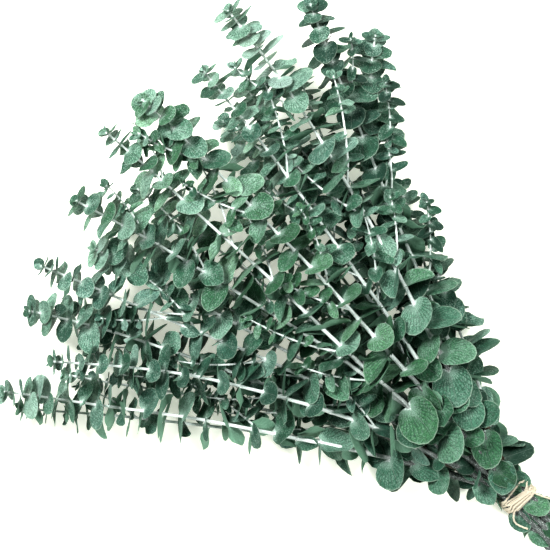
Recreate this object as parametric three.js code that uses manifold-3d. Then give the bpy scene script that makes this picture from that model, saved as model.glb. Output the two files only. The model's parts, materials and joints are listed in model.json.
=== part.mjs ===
// A bunch of dried baby blue eucalyptus: leafy stems bound near their cut ends with natural twine.
// It lies on its side. Millimetres, +Z up: the surface is z = 0, the binding is over y = 0 and the tips point
// to +Y.
import * as THREE from "three";
import { mergeVertices } from "three/addons/utils/BufferGeometryUtils.js";
import Module from "manifold-3d";

const wasm = await Module();
wasm.setup();

// ---- Driving dimensions ----

const CLEARANCE = 0.35; // between any two separate pieces
const PRESSED = 0.25; // how far the surface flattens what rests on it

const STEM_FOOT_RADIUS = 2.45; // at the cut end
const STEM_TIP_RADIUS = 0.75;
const STEM_SIDES = 6;
const STEM_STRETCHES = 8; // straight stretches that make up the long bow
const SEAT_PITCH = 4.6; // between neighbouring stems where they are bound
const BOUND_HEIGHT = 11.9; // of the bundle's middle over the surface, at the binding
const BOUND_LENGTH = 14; // held straight by the binding
const BEND_LENGTH = 24; // above the binding, where each stem turns from straight up to its own heading
const CUT_LENGTH = 52; // from the binding down to the cut ends
const CUT_STAGGER = 7; // how much the cut ends differ
const CUT_SPLAY = 1.45; // how far apart the cut ends stand, as a share of their spacing at the binding
const CUT_LIFT = 1.12; // the same, measured upwards
const BOW_CLIMB = 1.7; // how steeply a stem leaves the binding, against its whole climb
const TIP_CLIMB = 0.3; // how steeply it reaches its tip
const TIP_NOD = 0.03; // how much the tip's weight takes off that
const BOW_PULL = [0.3, 0.34]; // how far each end's heading is kept, as a share of the reach
const STEM_TAPER = 0.8; // below 1 the stem thins faster near its foot

const LEAF_THICKNESS = 0.7;
const LEAF_AT_TIP = 12; // width of the youngest leaves
const LEAF_GROWN = 23.5; // of the leaves along the middle of the stem
const LEAF_GROWTH = 28; // how far from the tip a leaf is nearly as wide as that
const LEAF_OLD = 29.5; // of the oldest leaves, low on the stem
const OLD_FROM_TIP = [170, 280]; // where the leaves go from grown to old
const PINCHED_SHARE = 0.7; // width of the leaves close to the binding, as a share of the old ones
const PINCHED_ABOVE_BINDING = [20, 75]; // where that wears off
const VIGOUR = 0.97; // a stem's leaves against these widths
const SHADED_STEM = 0.12; // less vigour of the stems at the bottom of the bunch
const LEAF_LENGTH_SHARE = 1.04; // length from the stem's middle over width
const LEAF_CURL = 0.12; // how far a leaf's end curls back, as a share of its length
// Degrees a pair of leaves is tipped over so that its upper faces show from above, by distance from the tip.
const FACE_UP = [
  [0, 30],
  [130, 13],
  [210, 13],
  [330, 32],
];
const TIP_CLASP = 16; // degrees the youngest leaves lean over the tip
const CLASP_FADES = 50; // how far from the tip most of that is gone
const GROWN_DROOP = 7; // degrees the oldest leaves lean back towards the foot
const BELOW_DROOP = 40; // the same for the leaves below the binding
const BELOW_FACE_UP = 42;
const TIP_INTERNODE = 5; // stem between the youngest leaf pairs
const INTERNODE = 17; // stem between full grown pairs
const INTERNODE_GROWTH = 0.09; // internode gained for each millimetre from the tip
const PAIRS_PER_BUILT_PAIR = 3; // every third pair of the real stem is built, so the crosswise order is kept
const TIP_PAIRS = 2; // but all of these at the tip

// How much the stems differ from each other, as shares and in degrees round the stem, and then their leaves.
const STEM_VARIETY = { atTip: 0.2, internode: 0.2, growth: 0.5, vigour: 0.09, start: 45 };
const LEAF_VARIETY = { width: 0.13, turn: 16, fold: 16, roll: 15, faceUp: 14 };

const TWINE_RADIUS = 0.75;
const TWINE_TURNS = 7;
const TWINE_PITCH = 1.62;
const TWINE_SIDES = 5;
const TURN_STEPS = 16; // straight stretches in a turn
const BAND_SLANT = -0.16; // how far the turns run along the bunch for each millimetre to the right
const BAND_LEAN = -0.16; // the same for each millimetre up, so that the band leans towards the cut ends
const LOOSE_STAND = 0.6; // how far the loose strand stands off the stems
const LOOSE_ALONG = 4.2; // where it lies on top
const LOOSE_SLANT = 0.1;
const LOOSE_FROM = 225; // it comes out of the band here, in degrees up from +X as seen along the stems
const LOOSE_TO = -45; // and goes back into it here
const LOOSE_STEPS = 12;
const LOOSE_ENDS = 0.4; // share of the strand at either end in which it leaves the band
const KNOT_RADIUS = 1.7;
const KNOT_SEAT = 0.35; // how far the knot's middle stands over the turns, as a share of its radius
const KNOT_TOWARDS = 60; // degrees up from +X: the knot is on the right shoulder
const KNOT_ALONG = -4.8;
// The free ends as points across, along and up. The first leaves the knot, the second the band.
const TWINE_ENDS = [
  [
    [9.3, -4.8, 24.1],
    [11.2, -10, 27],
    [13.8, -16, 27.8],
    [16.8, -22, 25.6],
    [19.2, -26.6, 21.5],
  ],
  [
    [-8.7, -6, 22.9],
    [-13.4, -9.6, 21.6],
    [-15, -13.4, 20],
    [-14, -18, 19.8],
    [-12, -22.6, 20.8],
  ],
];

// The stems in rows as they lie at the binding, the lowest row first and left to right. Angles are in degrees
// from +Y to the right: where the stem leaves the binding (start), where its tip lies (fan) and which way the
// tip points (end). reach is from the binding to the tip and lift is the tip's height. bare is how far above
// the binding the leaves begin, less than 0 where they begin below it.
const STEM_ROWS = [
  [
    { start: -17, fan: -28, end: -33, reach: 338, lift: 17, bare: 30 },
    { start: -6, fan: -8, end: -9, reach: 352, lift: 16, bare: 60 },
    { start: 7, fan: 9, end: 10, reach: 345, lift: 17, bare: 60 },
    { start: 19, fan: 26.5, end: 29, reach: 240, lift: 17, bare: -28 },
  ],
  [
    { start: -24, fan: -33, end: -38, reach: 365, lift: 19, bare: -34 },
    { start: -15, fan: -20, end: -18, reach: 346, lift: 30, bare: 60 },
    { start: -1, fan: -4, end: -6, reach: 352, lift: 36, bare: 80 },
    { start: 12, fan: 19.5, end: 26, reach: 340, lift: 28, bare: 50 },
    { start: 29, fan: 27.5, end: 25, reach: 176, lift: 20, bare: 2 },
  ],
  [
    { start: -18, fan: -22, end: -30, reach: 375, lift: 48, bare: -30 },
    { start: -8, fan: -12.5, end: -15, reach: 352, lift: 56, bare: 80 },
    { start: 5, fan: 13.5, end: 17, reach: 352, lift: 52, bare: 70 },
    { start: 21, fan: 29.8, end: 56, reach: 347, lift: 40, bare: 16 },
  ],
  [
    { start: -26, fan: -31.4, end: -36, reach: 377, lift: 40, bare: -34 },
    { start: -9, fan: -17, end: -20, reach: 379, lift: 60, bare: 30 },
    { start: -3, fan: -9, end: -15, reach: 379, lift: 78, bare: 50 },
    { start: 9, fan: 10.4, end: 7, reach: 377, lift: 78, bare: 50 },
    { start: 22, fan: 24, end: 26, reach: 383, lift: 52, bare: -38 },
  ],
  [
    { start: -14, fan: -26.5, end: -41, reach: 347, lift: 66, bare: 8 },
    { start: -4, fan: -1.5, end: -3, reach: 391, lift: 86, bare: -40 },
    { start: 5, fan: 3.5, end: 0, reach: 388, lift: 94, bare: -42 },
    { start: 17, fan: 16, end: 8, reach: 403, lift: 76, bare: -40 },
  ],
];

// ---- Helpers ----

const radians = THREE.MathUtils.degToRad;
const { lerp, clamp } = THREE.MathUtils;
const UP = new THREE.Vector3(0, 0, 1);

// A repeatable random number from 0 to 1 for each set of whole numbers.
function drawn(...seeds) {
  let h = 2166136261;
  for (const s of seeds) h = Math.imul(h ^ (s + 0x9e3779b9), 16777619);
  h = Math.imul(h ^ (h >>> 15), 2246822507);
  h = Math.imul(h ^ (h >>> 13), 3266489909);
  return ((h ^ (h >>> 16)) >>> 0) / 4294967296;
}

// A repeatable random number from -size to size.
const jitter = (size, ...seeds) => (2 * drawn(...seeds) - 1) * size;

// The value at a place on a line that runs straight between [place, value] points and level past them.
function valueAt(place, line) {
  const next = line.findIndex(([at]) => at > place);
  if (next <= 0) return line.at(next === 0 ? 0 : -1)[1];
  const [[from, a], [to, b]] = [line[next - 1], line[next]];
  return lerp(a, b, (place - from) / (to - from));
}

function solidOf(geometry) {
  const plain = new THREE.BufferGeometry().setAttribute(
    "position",
    geometry.index ? geometry.toNonIndexed().attributes.position : geometry.attributes.position,
  );
  const merged = mergeVertices(plain, 1e-4);
  return new wasm.Manifold(
    new wasm.Mesh({
      numProp: 3,
      vertProperties: new Float32Array(merged.attributes.position.array),
      triVerts: new Uint32Array(merged.index.array),
    }),
  );
}

function geometryOf(solid) {
  const { vertProperties, triVerts } = solid.getMesh();
  const geometry = new THREE.BufferGeometry();
  geometry.setAttribute("position", new THREE.BufferAttribute(new Float32Array(vertProperties), 3));
  geometry.setIndex(new THREE.BufferAttribute(new Uint32Array(triVerts), 1));
  return geometry;
}

function boxOf(solid) {
  const { min, max } = solid.boundingBox();
  return new THREE.Box3(new THREE.Vector3(...min), new THREE.Vector3(...max));
}

// ---- Stems ----

// A unit direction at an angle from +Y towards +X, climbing by slope.
function heading(degrees, slope) {
  const a = radians(degrees);
  return new THREE.Vector3(Math.sin(a), Math.cos(a), slope).normalize();
}

// Where a stem crosses the binding, with the rows staggered as round rods pack.
function seatOf(row, column) {
  const across = column - (STEM_ROWS[row].length - 1) / 2;
  const rowRise = (SEAT_PITCH * Math.sqrt(3)) / 2;
  const middleRow = (STEM_ROWS.length - 1) / 2;
  return new THREE.Vector3(across * SEAT_PITCH, 0, BOUND_HEIGHT + (row - middleRow) * rowRise);
}

// The stem's centre line: up to the binding, a short bend above it, then one long bow out to the tip.
function stemPath(stem, seat, index) {
  const cutLength = CUT_LENGTH + jitter(CUT_STAGGER, index, 7);
  const cutHeight = BOUND_HEIGHT + (seat.z - BOUND_HEIGHT) * CUT_LIFT;
  const cutEnd = new THREE.Vector3(seat.x * CUT_SPLAY, -cutLength, cutHeight);
  const fan = radians(stem.fan);
  const tip = new THREE.Vector3(Math.sin(fan) * stem.reach, Math.cos(fan) * stem.reach, stem.lift);
  const climb = (stem.lift - seat.z) / stem.reach;
  const straight = heading(0, 0);
  const leaving = heading(stem.start, climb * BOW_CLIMB);
  const arriving = heading(stem.end, climb * TIP_CLIMB - TIP_NOD);
  const enters = seat.clone().addScaledVector(straight, -BOUND_LENGTH / 2);
  const leaves = seat.clone().addScaledVector(straight, BOUND_LENGTH / 2);
  const bend = leaves.clone().addScaledVector(straight, BEND_LENGTH / 2);
  const bent = bend.clone().addScaledVector(leaving, BEND_LENGTH / 2);
  const path = new THREE.CurvePath();
  const belowBinding = enters.clone().addScaledVector(straight, -cutLength / 2);
  path.add(new THREE.QuadraticBezierCurve3(cutEnd, belowBinding, enters));
  path.add(new THREE.LineCurve3(enters, leaves));
  path.add(new THREE.QuadraticBezierCurve3(leaves, bend, bent));
  path.add(
    new THREE.CubicBezierCurve3(
      bent,
      bent.clone().addScaledVector(leaving, stem.reach * BOW_PULL[0]),
      tip.clone().addScaledVector(arriving, -stem.reach * BOW_PULL[1]),
      tip,
    ),
  );
  return path;
}

// The frame at a distance along a path: where it is, along it, sideways and up.
function frameAt(path, distance) {
  const share = clamp(distance / path.getLength(), 0, 1);
  const at = path.getPointAt(share);
  const along = path.getTangentAt(share);
  const side = along.clone().cross(UP).normalize();
  return { at, along, side, up: side.clone().cross(along) };
}

// A tapering round rod, bent along the path.
function stemRod(path) {
  const [toBinding, toBend, toBow, length] = path.getCurveLengths();
  const bow = Array.from({ length: STEM_STRETCHES }, (_, i) => lerp(toBow, length, (i + 1) / STEM_STRETCHES));
  const rings = [0, toBinding, toBend, (toBend + toBow) / 2, toBow, ...bow];
  const rod = new THREE.CylinderGeometry(1, 1, rings.length - 1, STEM_SIDES, rings.length - 1);
  const points = rod.attributes.position;
  for (let i = 0; i < points.count; i++) {
    const distance = rings[Math.round(points.getY(i) + (rings.length - 1) / 2)];
    const { at, side, up } = frameAt(path, distance);
    const radius = lerp(STEM_FOOT_RADIUS, STEM_TIP_RADIUS, Math.pow(distance / length, STEM_TAPER));
    at.addScaledVector(side, points.getX(i) * radius).addScaledVector(up, points.getZ(i) * radius);
    points.setXYZ(i, at.x, at.y, at.z);
  }
  return solidOf(rod);
}

// ---- Leaves ----

// A nearly round blade that curls back: its base is at the origin, its length along +Y, its upper face to +Z.
function leafBlade(width) {
  const length = width * LEAF_LENGTH_SHARE;
  const outline = new THREE.Shape(
    [
      [-0.03, 0],
      [0.03, 0],
      [0.49, 0.4],
      [0.28, 0.96],
      [-0.28, 0.96],
      [-0.49, 0.4],
    ].map(([across, along]) => new THREE.Vector2(across * width, along * length)),
  );
  const blade = new THREE.ExtrudeGeometry(outline, { depth: LEAF_THICKNESS, bevelEnabled: false });
  const points = blade.attributes.position;
  for (let i = 0; i < points.count; i++) {
    const curl = LEAF_CURL * length * Math.pow(points.getY(i) / length, 2);
    points.setZ(i, points.getZ(i) - LEAF_THICKNESS / 2 - curl);
  }
  return solidOf(blade);
}

// The pose of a leaf on a stem. turn goes round the stem from its side, and fold leans the leaf back towards
// the foot.
function leafPose({ at, along, side, up }, turn, fold, roll) {
  const out = side.clone().multiplyScalar(Math.cos(turn)).addScaledVector(up, Math.sin(turn));
  const length = out.clone().multiplyScalar(Math.cos(fold)).addScaledVector(along, -Math.sin(fold));
  const face = along.clone().multiplyScalar(Math.cos(fold)).addScaledVector(out, Math.sin(fold));
  face.applyAxisAngle(length, roll);
  const width = length.clone().cross(face);
  return new THREE.Matrix4().makeBasis(width, length, face).setPosition(at);
}

// How a leaf may give way to its neighbours: extra degrees of fold, of turn and of roll, and its size.
const WAYS_TO_LIE = [
  [0, 0, 0, 1],
  [12, 0, 0, 1],
  [-12, 0, 0, 1],
  [0, 14, 0, 1],
  [0, -14, 0, 1],
  [22, 0, 14, 1],
  [22, 0, -14, 1],
  [-24, 0, 0, 1],
  [34, 12, 0, 1],
  [34, -12, 0, 1],
  [-36, 0, 0, 1],
  [46, 0, 0, 1],
  [46, 22, 10, 1],
  [46, -22, -10, 1],
  [-48, 0, 0, 0.9],
  [58, 0, 0, 0.9],
  [58, 24, 0, 0.9],
  [58, -24, 0, 0.9],
  [-58, 20, 0, 0.8],
  [-58, -20, 0, 0.8],
  [30, 34, 20, 0.8],
  [30, -34, -20, 0.8],
  [66, 34, 0, 0.8],
  [66, -34, 0, 0.8],
];
const MOST_FOLD = radians(80);

// The fold nearest to the wanted one at which a leaf doesn't go through the surface but lies on it.
function restingFold(blade, frame, turn, fold, roll) {
  const lowest = (angle) => blade.transform(leafPose(frame, turn, angle, roll).elements).boundingBox().min[2];
  const step = radians(6);
  if (lowest(fold) >= -PRESSED) return fold;
  for (let more = step; more < 2 * MOST_FOLD; more += step) {
    for (const way of [1, -1]) {
      let free = fold + way * more;
      if (Math.abs(free) > MOST_FOLD || lowest(free) < -PRESSED) continue;
      let sunk = free - way * step;
      for (let halving = 0; halving < 6; halving++) {
        const between = (free + sunk) / 2;
        if (lowest(between) < -PRESSED) sunk = between;
        else free = between;
      }
      return free;
    }
  }
  return null;
}

const placed = []; // every solid so far with its owner and its box

function place(solid, owner) {
  placed.push({ solid, owner, box: boxOf(solid).expandByScalar(CLEARANCE) });
}

// True if a new leaf is clear of everything placed so far, apart from the stem that bears it.
function isClear(leaf, bearer) {
  const box = boxOf(leaf);
  return placed.every(
    ({ solid, owner, box: other }) =>
      owner === bearer || !other.intersectsBox(box) || solid.minGap(leaf, CLEARANCE) >= CLEARANCE,
  );
}

// The leaf at a place on a stem, in the first way to lie that is clear, or nothing.
function leafAt(frame, width, turn, fold, roll, bearer) {
  for (const [moreFold, moreTurn, moreRoll, share] of WAYS_TO_LIE) {
    const blade = leafBlade(width * share);
    const newTurn = turn + radians(moreTurn);
    const newRoll = roll + radians(moreRoll);
    const wanted = clamp(fold + radians(moreFold), -MOST_FOLD, MOST_FOLD);
    const newFold = restingFold(blade, frame, newTurn, wanted, newRoll);
    if (newFold === null) continue;
    const leaf = blade.transform(leafPose(frame, newTurn, newFold, newRoll).elements);
    if (isClear(leaf, bearer)) return leaf;
  }
  return null;
}

// The pairs of leaves that are built on a stem, each with its number and its distance from the tip.
function builtPairs(stem, index) {
  const atTip = TIP_INTERNODE * (1 + jitter(STEM_VARIETY.internode, index, 14));
  const pairs = [];
  let distance = 3;
  for (let pair = 0; distance < stem.reach - stem.bare; pair++) {
    if (pair < TIP_PAIRS || pair % PAIRS_PER_BUILT_PAIR === 0) pairs.push([pair, distance]);
    distance += Math.min(INTERNODE, atTip + INTERNODE_GROWTH * distance);
  }
  return pairs;
}

// The width of a stem's leaves at a distance from its tip: widest low on the stem, small by the binding.
function leafWidth(stem, index, fromTip) {
  const atTip = LEAF_AT_TIP * (1 + jitter(STEM_VARIETY.atTip, index, 13));
  const growth = LEAF_GROWTH * (1 + jitter(STEM_VARIETY.growth, index, 15));
  const grown = lerp(atTip, LEAF_GROWN, 1 - Math.exp(-fromTip / growth));
  const old = clamp(THREE.MathUtils.inverseLerp(...OLD_FROM_TIP, fromTip), 0, 1);
  const clear = clamp(THREE.MathUtils.inverseLerp(...PINCHED_ABOVE_BINDING, stem.reach - fromTip), 0, 1);
  const shaded = index < STEM_ROWS[0].length ? SHADED_STEM : 0;
  const vigour = VIGOUR + jitter(STEM_VARIETY.vigour, index, 12) - shaded;
  return lerp(grown, LEAF_OLD, old) * lerp(PINCHED_SHARE, 1, clear) * vigour;
}

// Every leaf of one stem, two to a pair and each pair crosswise to the next.
function stemLeaves(stem, index) {
  const length = stem.path.getLength();
  const start = radians(jitter(STEM_VARIETY.start, index, 1));
  const leaves = [];
  for (const [pair, fromTip] of builtPairs(stem, index)) {
    const frame = frameAt(stem.path, length - fromTip);
    const below = fromTip > stem.reach - BOUND_LENGTH / 2;
    const grownDroop = lerp(-TIP_CLASP, GROWN_DROOP, 1 - Math.exp(-fromTip / CLASP_FADES));
    const droop = below ? BELOW_DROOP : grownDroop;
    const grownFaceUp = valueAt(fromTip, FACE_UP) + jitter(LEAF_VARIETY.faceUp, index, pair, 6);
    const faceUp = below ? BELOW_FACE_UP : grownFaceUp;
    for (const half of [0, 1]) {
      const seeds = [index, pair, half];
      const width = leafWidth(stem, index, fromTip) * (1 + jitter(LEAF_VARIETY.width, ...seeds, 5));
      const crosswise = start + (Math.PI / 2) * (pair + 2 * half);
      const turn = crosswise + radians(jitter(LEAF_VARIETY.turn, ...seeds, 2));
      const fold = radians(droop + faceUp * Math.sin(turn) + jitter(LEAF_VARIETY.fold, ...seeds, 3));
      const roll = radians(faceUp * Math.cos(turn) + jitter(LEAF_VARIETY.roll, ...seeds, 4));
      const leaf = leafAt(frame, width, turn, fold, roll, index);
      if (!leaf) continue;
      leaves.push(leaf);
      place(leaf, `leaf ${index}.${pair}.${half}`);
    }
  }
  return leaves;
}

// ---- Twine ----

const seats = STEM_ROWS.flatMap((row, r) => row.map((_, c) => seatOf(r, c)));

// A path that runs straight from point to point.
class PointPath extends THREE.Curve {
  constructor(points) {
    super();
    this.points = points;
  }
  getPoint(t) {
    const spot = clamp(t, 0, 1) * (this.points.length - 1);
    const before = Math.min(Math.floor(spot), this.points.length - 2);
    return this.points[before].clone().lerp(this.points[before + 1], spot - before);
  }
  getUtoTmapping(u) {
    return u;
  }
}

// A round string through points, as one closed solid.
function string(points) {
  const round = new THREE.Shape(
    Array.from({ length: TWINE_SIDES }, (_, i) => {
      const a = (i * 2 * Math.PI) / TWINE_SIDES;
      return new THREE.Vector2(Math.cos(a) * TWINE_RADIUS, Math.sin(a) * TWINE_RADIUS);
    }),
  );
  const steps = points.length - 1;
  return solidOf(
    new THREE.ExtrudeGeometry(round, { steps, extrudePath: new PointPath(points), bevelEnabled: false }),
  );
}

// The point of a turn round the bound stems in a direction: degrees up from +X, seen along the stems.
function loopPoint(degrees, stand) {
  const outward = new THREE.Vector3(Math.cos(radians(degrees)), 0, Math.sin(radians(degrees)));
  const seat = seats.reduce((far, other) => (other.dot(outward) > far.dot(outward) ? other : far));
  return seat.clone().addScaledVector(outward, STEM_FOOT_RADIUS + CLEARANCE + TWINE_RADIUS + stand);
}

// The tight turns side by side. No corner faces straight down, so that the underside runs level.
function band() {
  const turn = 360 / TURN_STEPS;
  const points = Array.from({ length: TWINE_TURNS * TURN_STEPS + 1 }, (_, i) => {
    const point = loopPoint(90 + turn / 2 + i * turn, 0);
    const along = (TWINE_TURNS / 2 - i / TURN_STEPS) * TWINE_PITCH;
    return point.setY(along + BAND_SLANT * point.x + BAND_LEAN * point.z);
  });
  return string(points);
}

// The strand that runs loose beside the band, over the top.
function looseStrand() {
  const points = Array.from({ length: LOOSE_STEPS + 1 }, (_, i) => {
    const share = i / LOOSE_STEPS;
    const point = loopPoint(lerp(LOOSE_FROM, LOOSE_TO, share), LOOSE_STAND);
    const free = Math.min(1, share / LOOSE_ENDS, (1 - share) / LOOSE_ENDS);
    return point.setY(lerp(BAND_SLANT * point.x, LOOSE_ALONG + LOOSE_SLANT * point.x, free));
  });
  return string(points);
}

function twine() {
  const knot = new THREE.TorusKnotGeometry(KNOT_RADIUS, TWINE_RADIUS * 0.9, 24, 5, 2, 3);
  knot.rotateY(radians(90 - KNOT_TOWARDS));
  knot.translate(...loopPoint(KNOT_TOWARDS, TWINE_RADIUS + KNOT_RADIUS * KNOT_SEAT).setY(KNOT_ALONG));
  const ends = TWINE_ENDS.map((points) => {
    const route = new THREE.CatmullRomCurve3(points.map((point) => new THREE.Vector3(...point)));
    return string(route.getPoints(2 * (points.length - 1)));
  });
  return wasm.Manifold.union([band(), looseStrand(), solidOf(knot), ...ends]);
}

// ---- The bunch ----

const foliage = new THREE.MeshStandardMaterial({ color: 0x5f8e70, roughness: 0.62, metalness: 0 });
const jute = new THREE.MeshStandardMaterial({ color: 0xd8cba6, roughness: 0.9, metalness: 0 });

const bunch = new THREE.Group();

// Adds a solid as a named node, cut level where it rests on the surface.
function addNode(name, solid, material) {
  const mesh = new THREE.Mesh(geometryOf(solid.trimByPlane([0, 0, 1], 0)), material);
  mesh.name = name;
  bunch.add(mesh);
}

const stems = STEM_ROWS.flatMap((row, r) =>
  row.map((stem, c) => ({ ...stem, name: `stem_${r + 1}_${c + 1}`, seat: seatOf(r, c) })),
);
stems.forEach((stem, index) => {
  stem.path = stemPath(stem, stem.seat, index);
  stem.rod = stemRod(stem.path);
  place(stem.rod, index);
});

const binding = twine();
place(binding, "twine");

stems.forEach((stem, index) => {
  addNode(stem.name, wasm.Manifold.union([stem.rod, ...stemLeaves(stem, index)]), foliage);
});
addNode("twine", binding, jute);

export default bunch;
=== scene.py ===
"""Dresses a bunch of dried baby blue eucalyptus, tied with natural twine and lying on a pale floor.

Everything is in metres in the frame of the solids: the floor is z = 0, the binding is over y = 0 and
the tips point to +Y. Sizes are written in millimetres and turned into metres with MM.
"""

from __future__ import annotations

import json
import logging
import math
from dataclasses import dataclass, field, replace
from enum import Enum, IntEnum
from typing import Any, Union

import bpy
import numpy as np
from bpy.types import ID, Collection, Material, Mesh, Node, NodeTree, Object
from bpy.types import NodeSocket as Socket
from mathutils import Matrix, Vector
from mathutils.bvhtree import BVHTree

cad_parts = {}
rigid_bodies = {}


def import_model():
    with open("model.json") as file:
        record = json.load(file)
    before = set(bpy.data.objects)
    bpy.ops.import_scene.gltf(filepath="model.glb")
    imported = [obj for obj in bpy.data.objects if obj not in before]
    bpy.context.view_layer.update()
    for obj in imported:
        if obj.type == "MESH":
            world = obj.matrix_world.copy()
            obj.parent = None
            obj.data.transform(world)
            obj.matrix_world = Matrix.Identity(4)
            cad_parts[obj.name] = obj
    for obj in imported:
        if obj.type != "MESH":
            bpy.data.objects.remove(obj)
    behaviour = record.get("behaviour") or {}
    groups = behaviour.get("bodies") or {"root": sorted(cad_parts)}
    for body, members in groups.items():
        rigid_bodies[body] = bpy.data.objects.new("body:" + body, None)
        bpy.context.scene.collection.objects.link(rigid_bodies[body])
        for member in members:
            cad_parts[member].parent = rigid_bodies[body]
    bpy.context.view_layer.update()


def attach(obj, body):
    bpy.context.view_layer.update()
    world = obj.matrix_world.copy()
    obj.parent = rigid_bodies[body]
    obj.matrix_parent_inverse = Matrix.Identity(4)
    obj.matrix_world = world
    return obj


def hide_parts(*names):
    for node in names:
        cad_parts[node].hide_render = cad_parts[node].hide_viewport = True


MM = 0.001
LOG = logging.getLogger("eucalyptus")
OLDEST = 330.0  # how far from a stem's tip a leaf counts as the oldest, in millimetres

Feed = Union[Socket, float, tuple]  # what an input takes: a socket or a value
Inputs = dict[str, tuple[str, Any]]  # a node group's inputs: label to socket type and default value
Finishes = dict[str, Material]
Colour = tuple[float, float, float, float]
Size = tuple[float, float, float]
Triangles = list[tuple[int, int, int]]
Shell = tuple[np.ndarray, Triangles]  # points and triangles that stand in for a piece
Frame = tuple[np.ndarray, np.ndarray, np.ndarray, np.ndarray]  # a point, and along, sideways and up


# ---- Small shared helpers ----


class Draw(IntEnum):
    """What a random number is drawn for. Each number is part of the draw, so it stays as it is."""

    START_TURN = 1
    TURN = 2
    FOLD = 3
    ROLL = 4
    WIDTH = 5
    FACE_UP = 6
    CUT_LENGTH = 7
    FORM = 8
    LEAF_TONE = 9
    STEM_TONE = 10
    VIGOUR = 12
    TIP_WIDTH = 13
    TIP_INTERNODE = 14
    GROWTH = 15
    STEM_HUE = 16
    LEAF_HUE = 17
    FALLEN = 18
    SPRIG_PLACE = 31
    SPRIG_HAND = 32
    SPRIG_LENGTH = 33


def drawn(*seeds: int) -> float:
    """Gives a repeatable random number for each set of whole numbers, by the rule that the solids use.

    Args:
        seeds: The whole numbers that name the draw.

    Returns:
        A number from 0 to 1.
    """
    h = 2166136261
    for seed in seeds:
        h = ((h ^ ((seed + 0x9E3779B9) & 0xFFFFFFFF)) * 16777619) & 0xFFFFFFFF
    h = ((h ^ (h >> 15)) * 2246822507) & 0xFFFFFFFF
    h = ((h ^ (h >> 13)) * 3266489909) & 0xFFFFFFFF
    return (h ^ (h >> 16)) / 4294967296


def jitter(size: float, *seeds: int) -> float:
    """Returns a repeatable random number from -size to size."""
    return (2 * drawn(*seeds) - 1) * size


def lerp(a: float, b: float, share: float) -> float:
    """Returns the value at a share of the way from a to b."""
    return a + (b - a) * share


def share_past(value: float, start: float, span: float) -> float:
    """Returns how far a value has come from start over a span, from 0 to 1."""
    return min(max((value - start) / span, 0.0), 1.0)


def risen(distance: float, span: float) -> float:
    """Returns a share that is 0 at no distance and nears 1 as the distance outgrows the span."""
    return 1 - math.exp(-distance / span)


def unit(v: np.ndarray) -> np.ndarray:
    """Returns a direction at unit length."""
    return v / np.linalg.norm(v)


def side_and_up(along: np.ndarray) -> tuple[np.ndarray, np.ndarray]:
    """Returns the level direction to the right of a direction, and the one square to both."""
    side = unit(np.cross(along, (0, 0, 1)))
    return side, np.cross(side, along)


def heading(degrees: float, slope: float) -> np.ndarray:
    """Returns the unit direction at an angle from +Y towards +X that climbs by slope."""
    a = math.radians(degrees)
    return unit(np.array((math.sin(a), math.cos(a), slope)))


def paint(red: int, green: int, blue: int) -> Colour:
    """Turns a colour as seen on screen into the linear colour that a shader takes.

    Args:
        red: From 0 to 255.
        green: From 0 to 255.
        blue: From 0 to 255.

    Returns:
        Linear red, green, blue and an alpha of 1.
    """

    def linear(c: float) -> float:
        """Returns one channel in linear light."""
        c /= 255
        return c / 12.92 if c <= 0.04045 else ((c + 0.055) / 1.055) ** 2.4

    return (linear(red), linear(green), linear(blue), 1.0)


def into_scene(name: str, data: ID) -> Object:
    """Adds an object to the scene and returns it."""
    made = bpy.data.objects.new(name, data)
    bpy.context.scene.collection.objects.link(made)
    return made


def new_material(name: str) -> tuple[Material, Node]:
    """Returns a new material and its Principled BSDF."""
    material = bpy.data.materials.new(name)
    material.use_nodes = True
    return material, material.node_tree.nodes["Principled BSDF"]


def add_inputs(tree: NodeTree, inputs: Inputs) -> None:
    """Gives a node group its inputs.

    Args:
        tree: The group.
        inputs: Label to socket type and default value, which is None where it has none.
    """
    for label, (kind, value) in inputs.items():
        socket = tree.interface.new_socket(label, in_out="INPUT", socket_type=kind)
        if value is not None:
            socket.default_value = value


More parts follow.
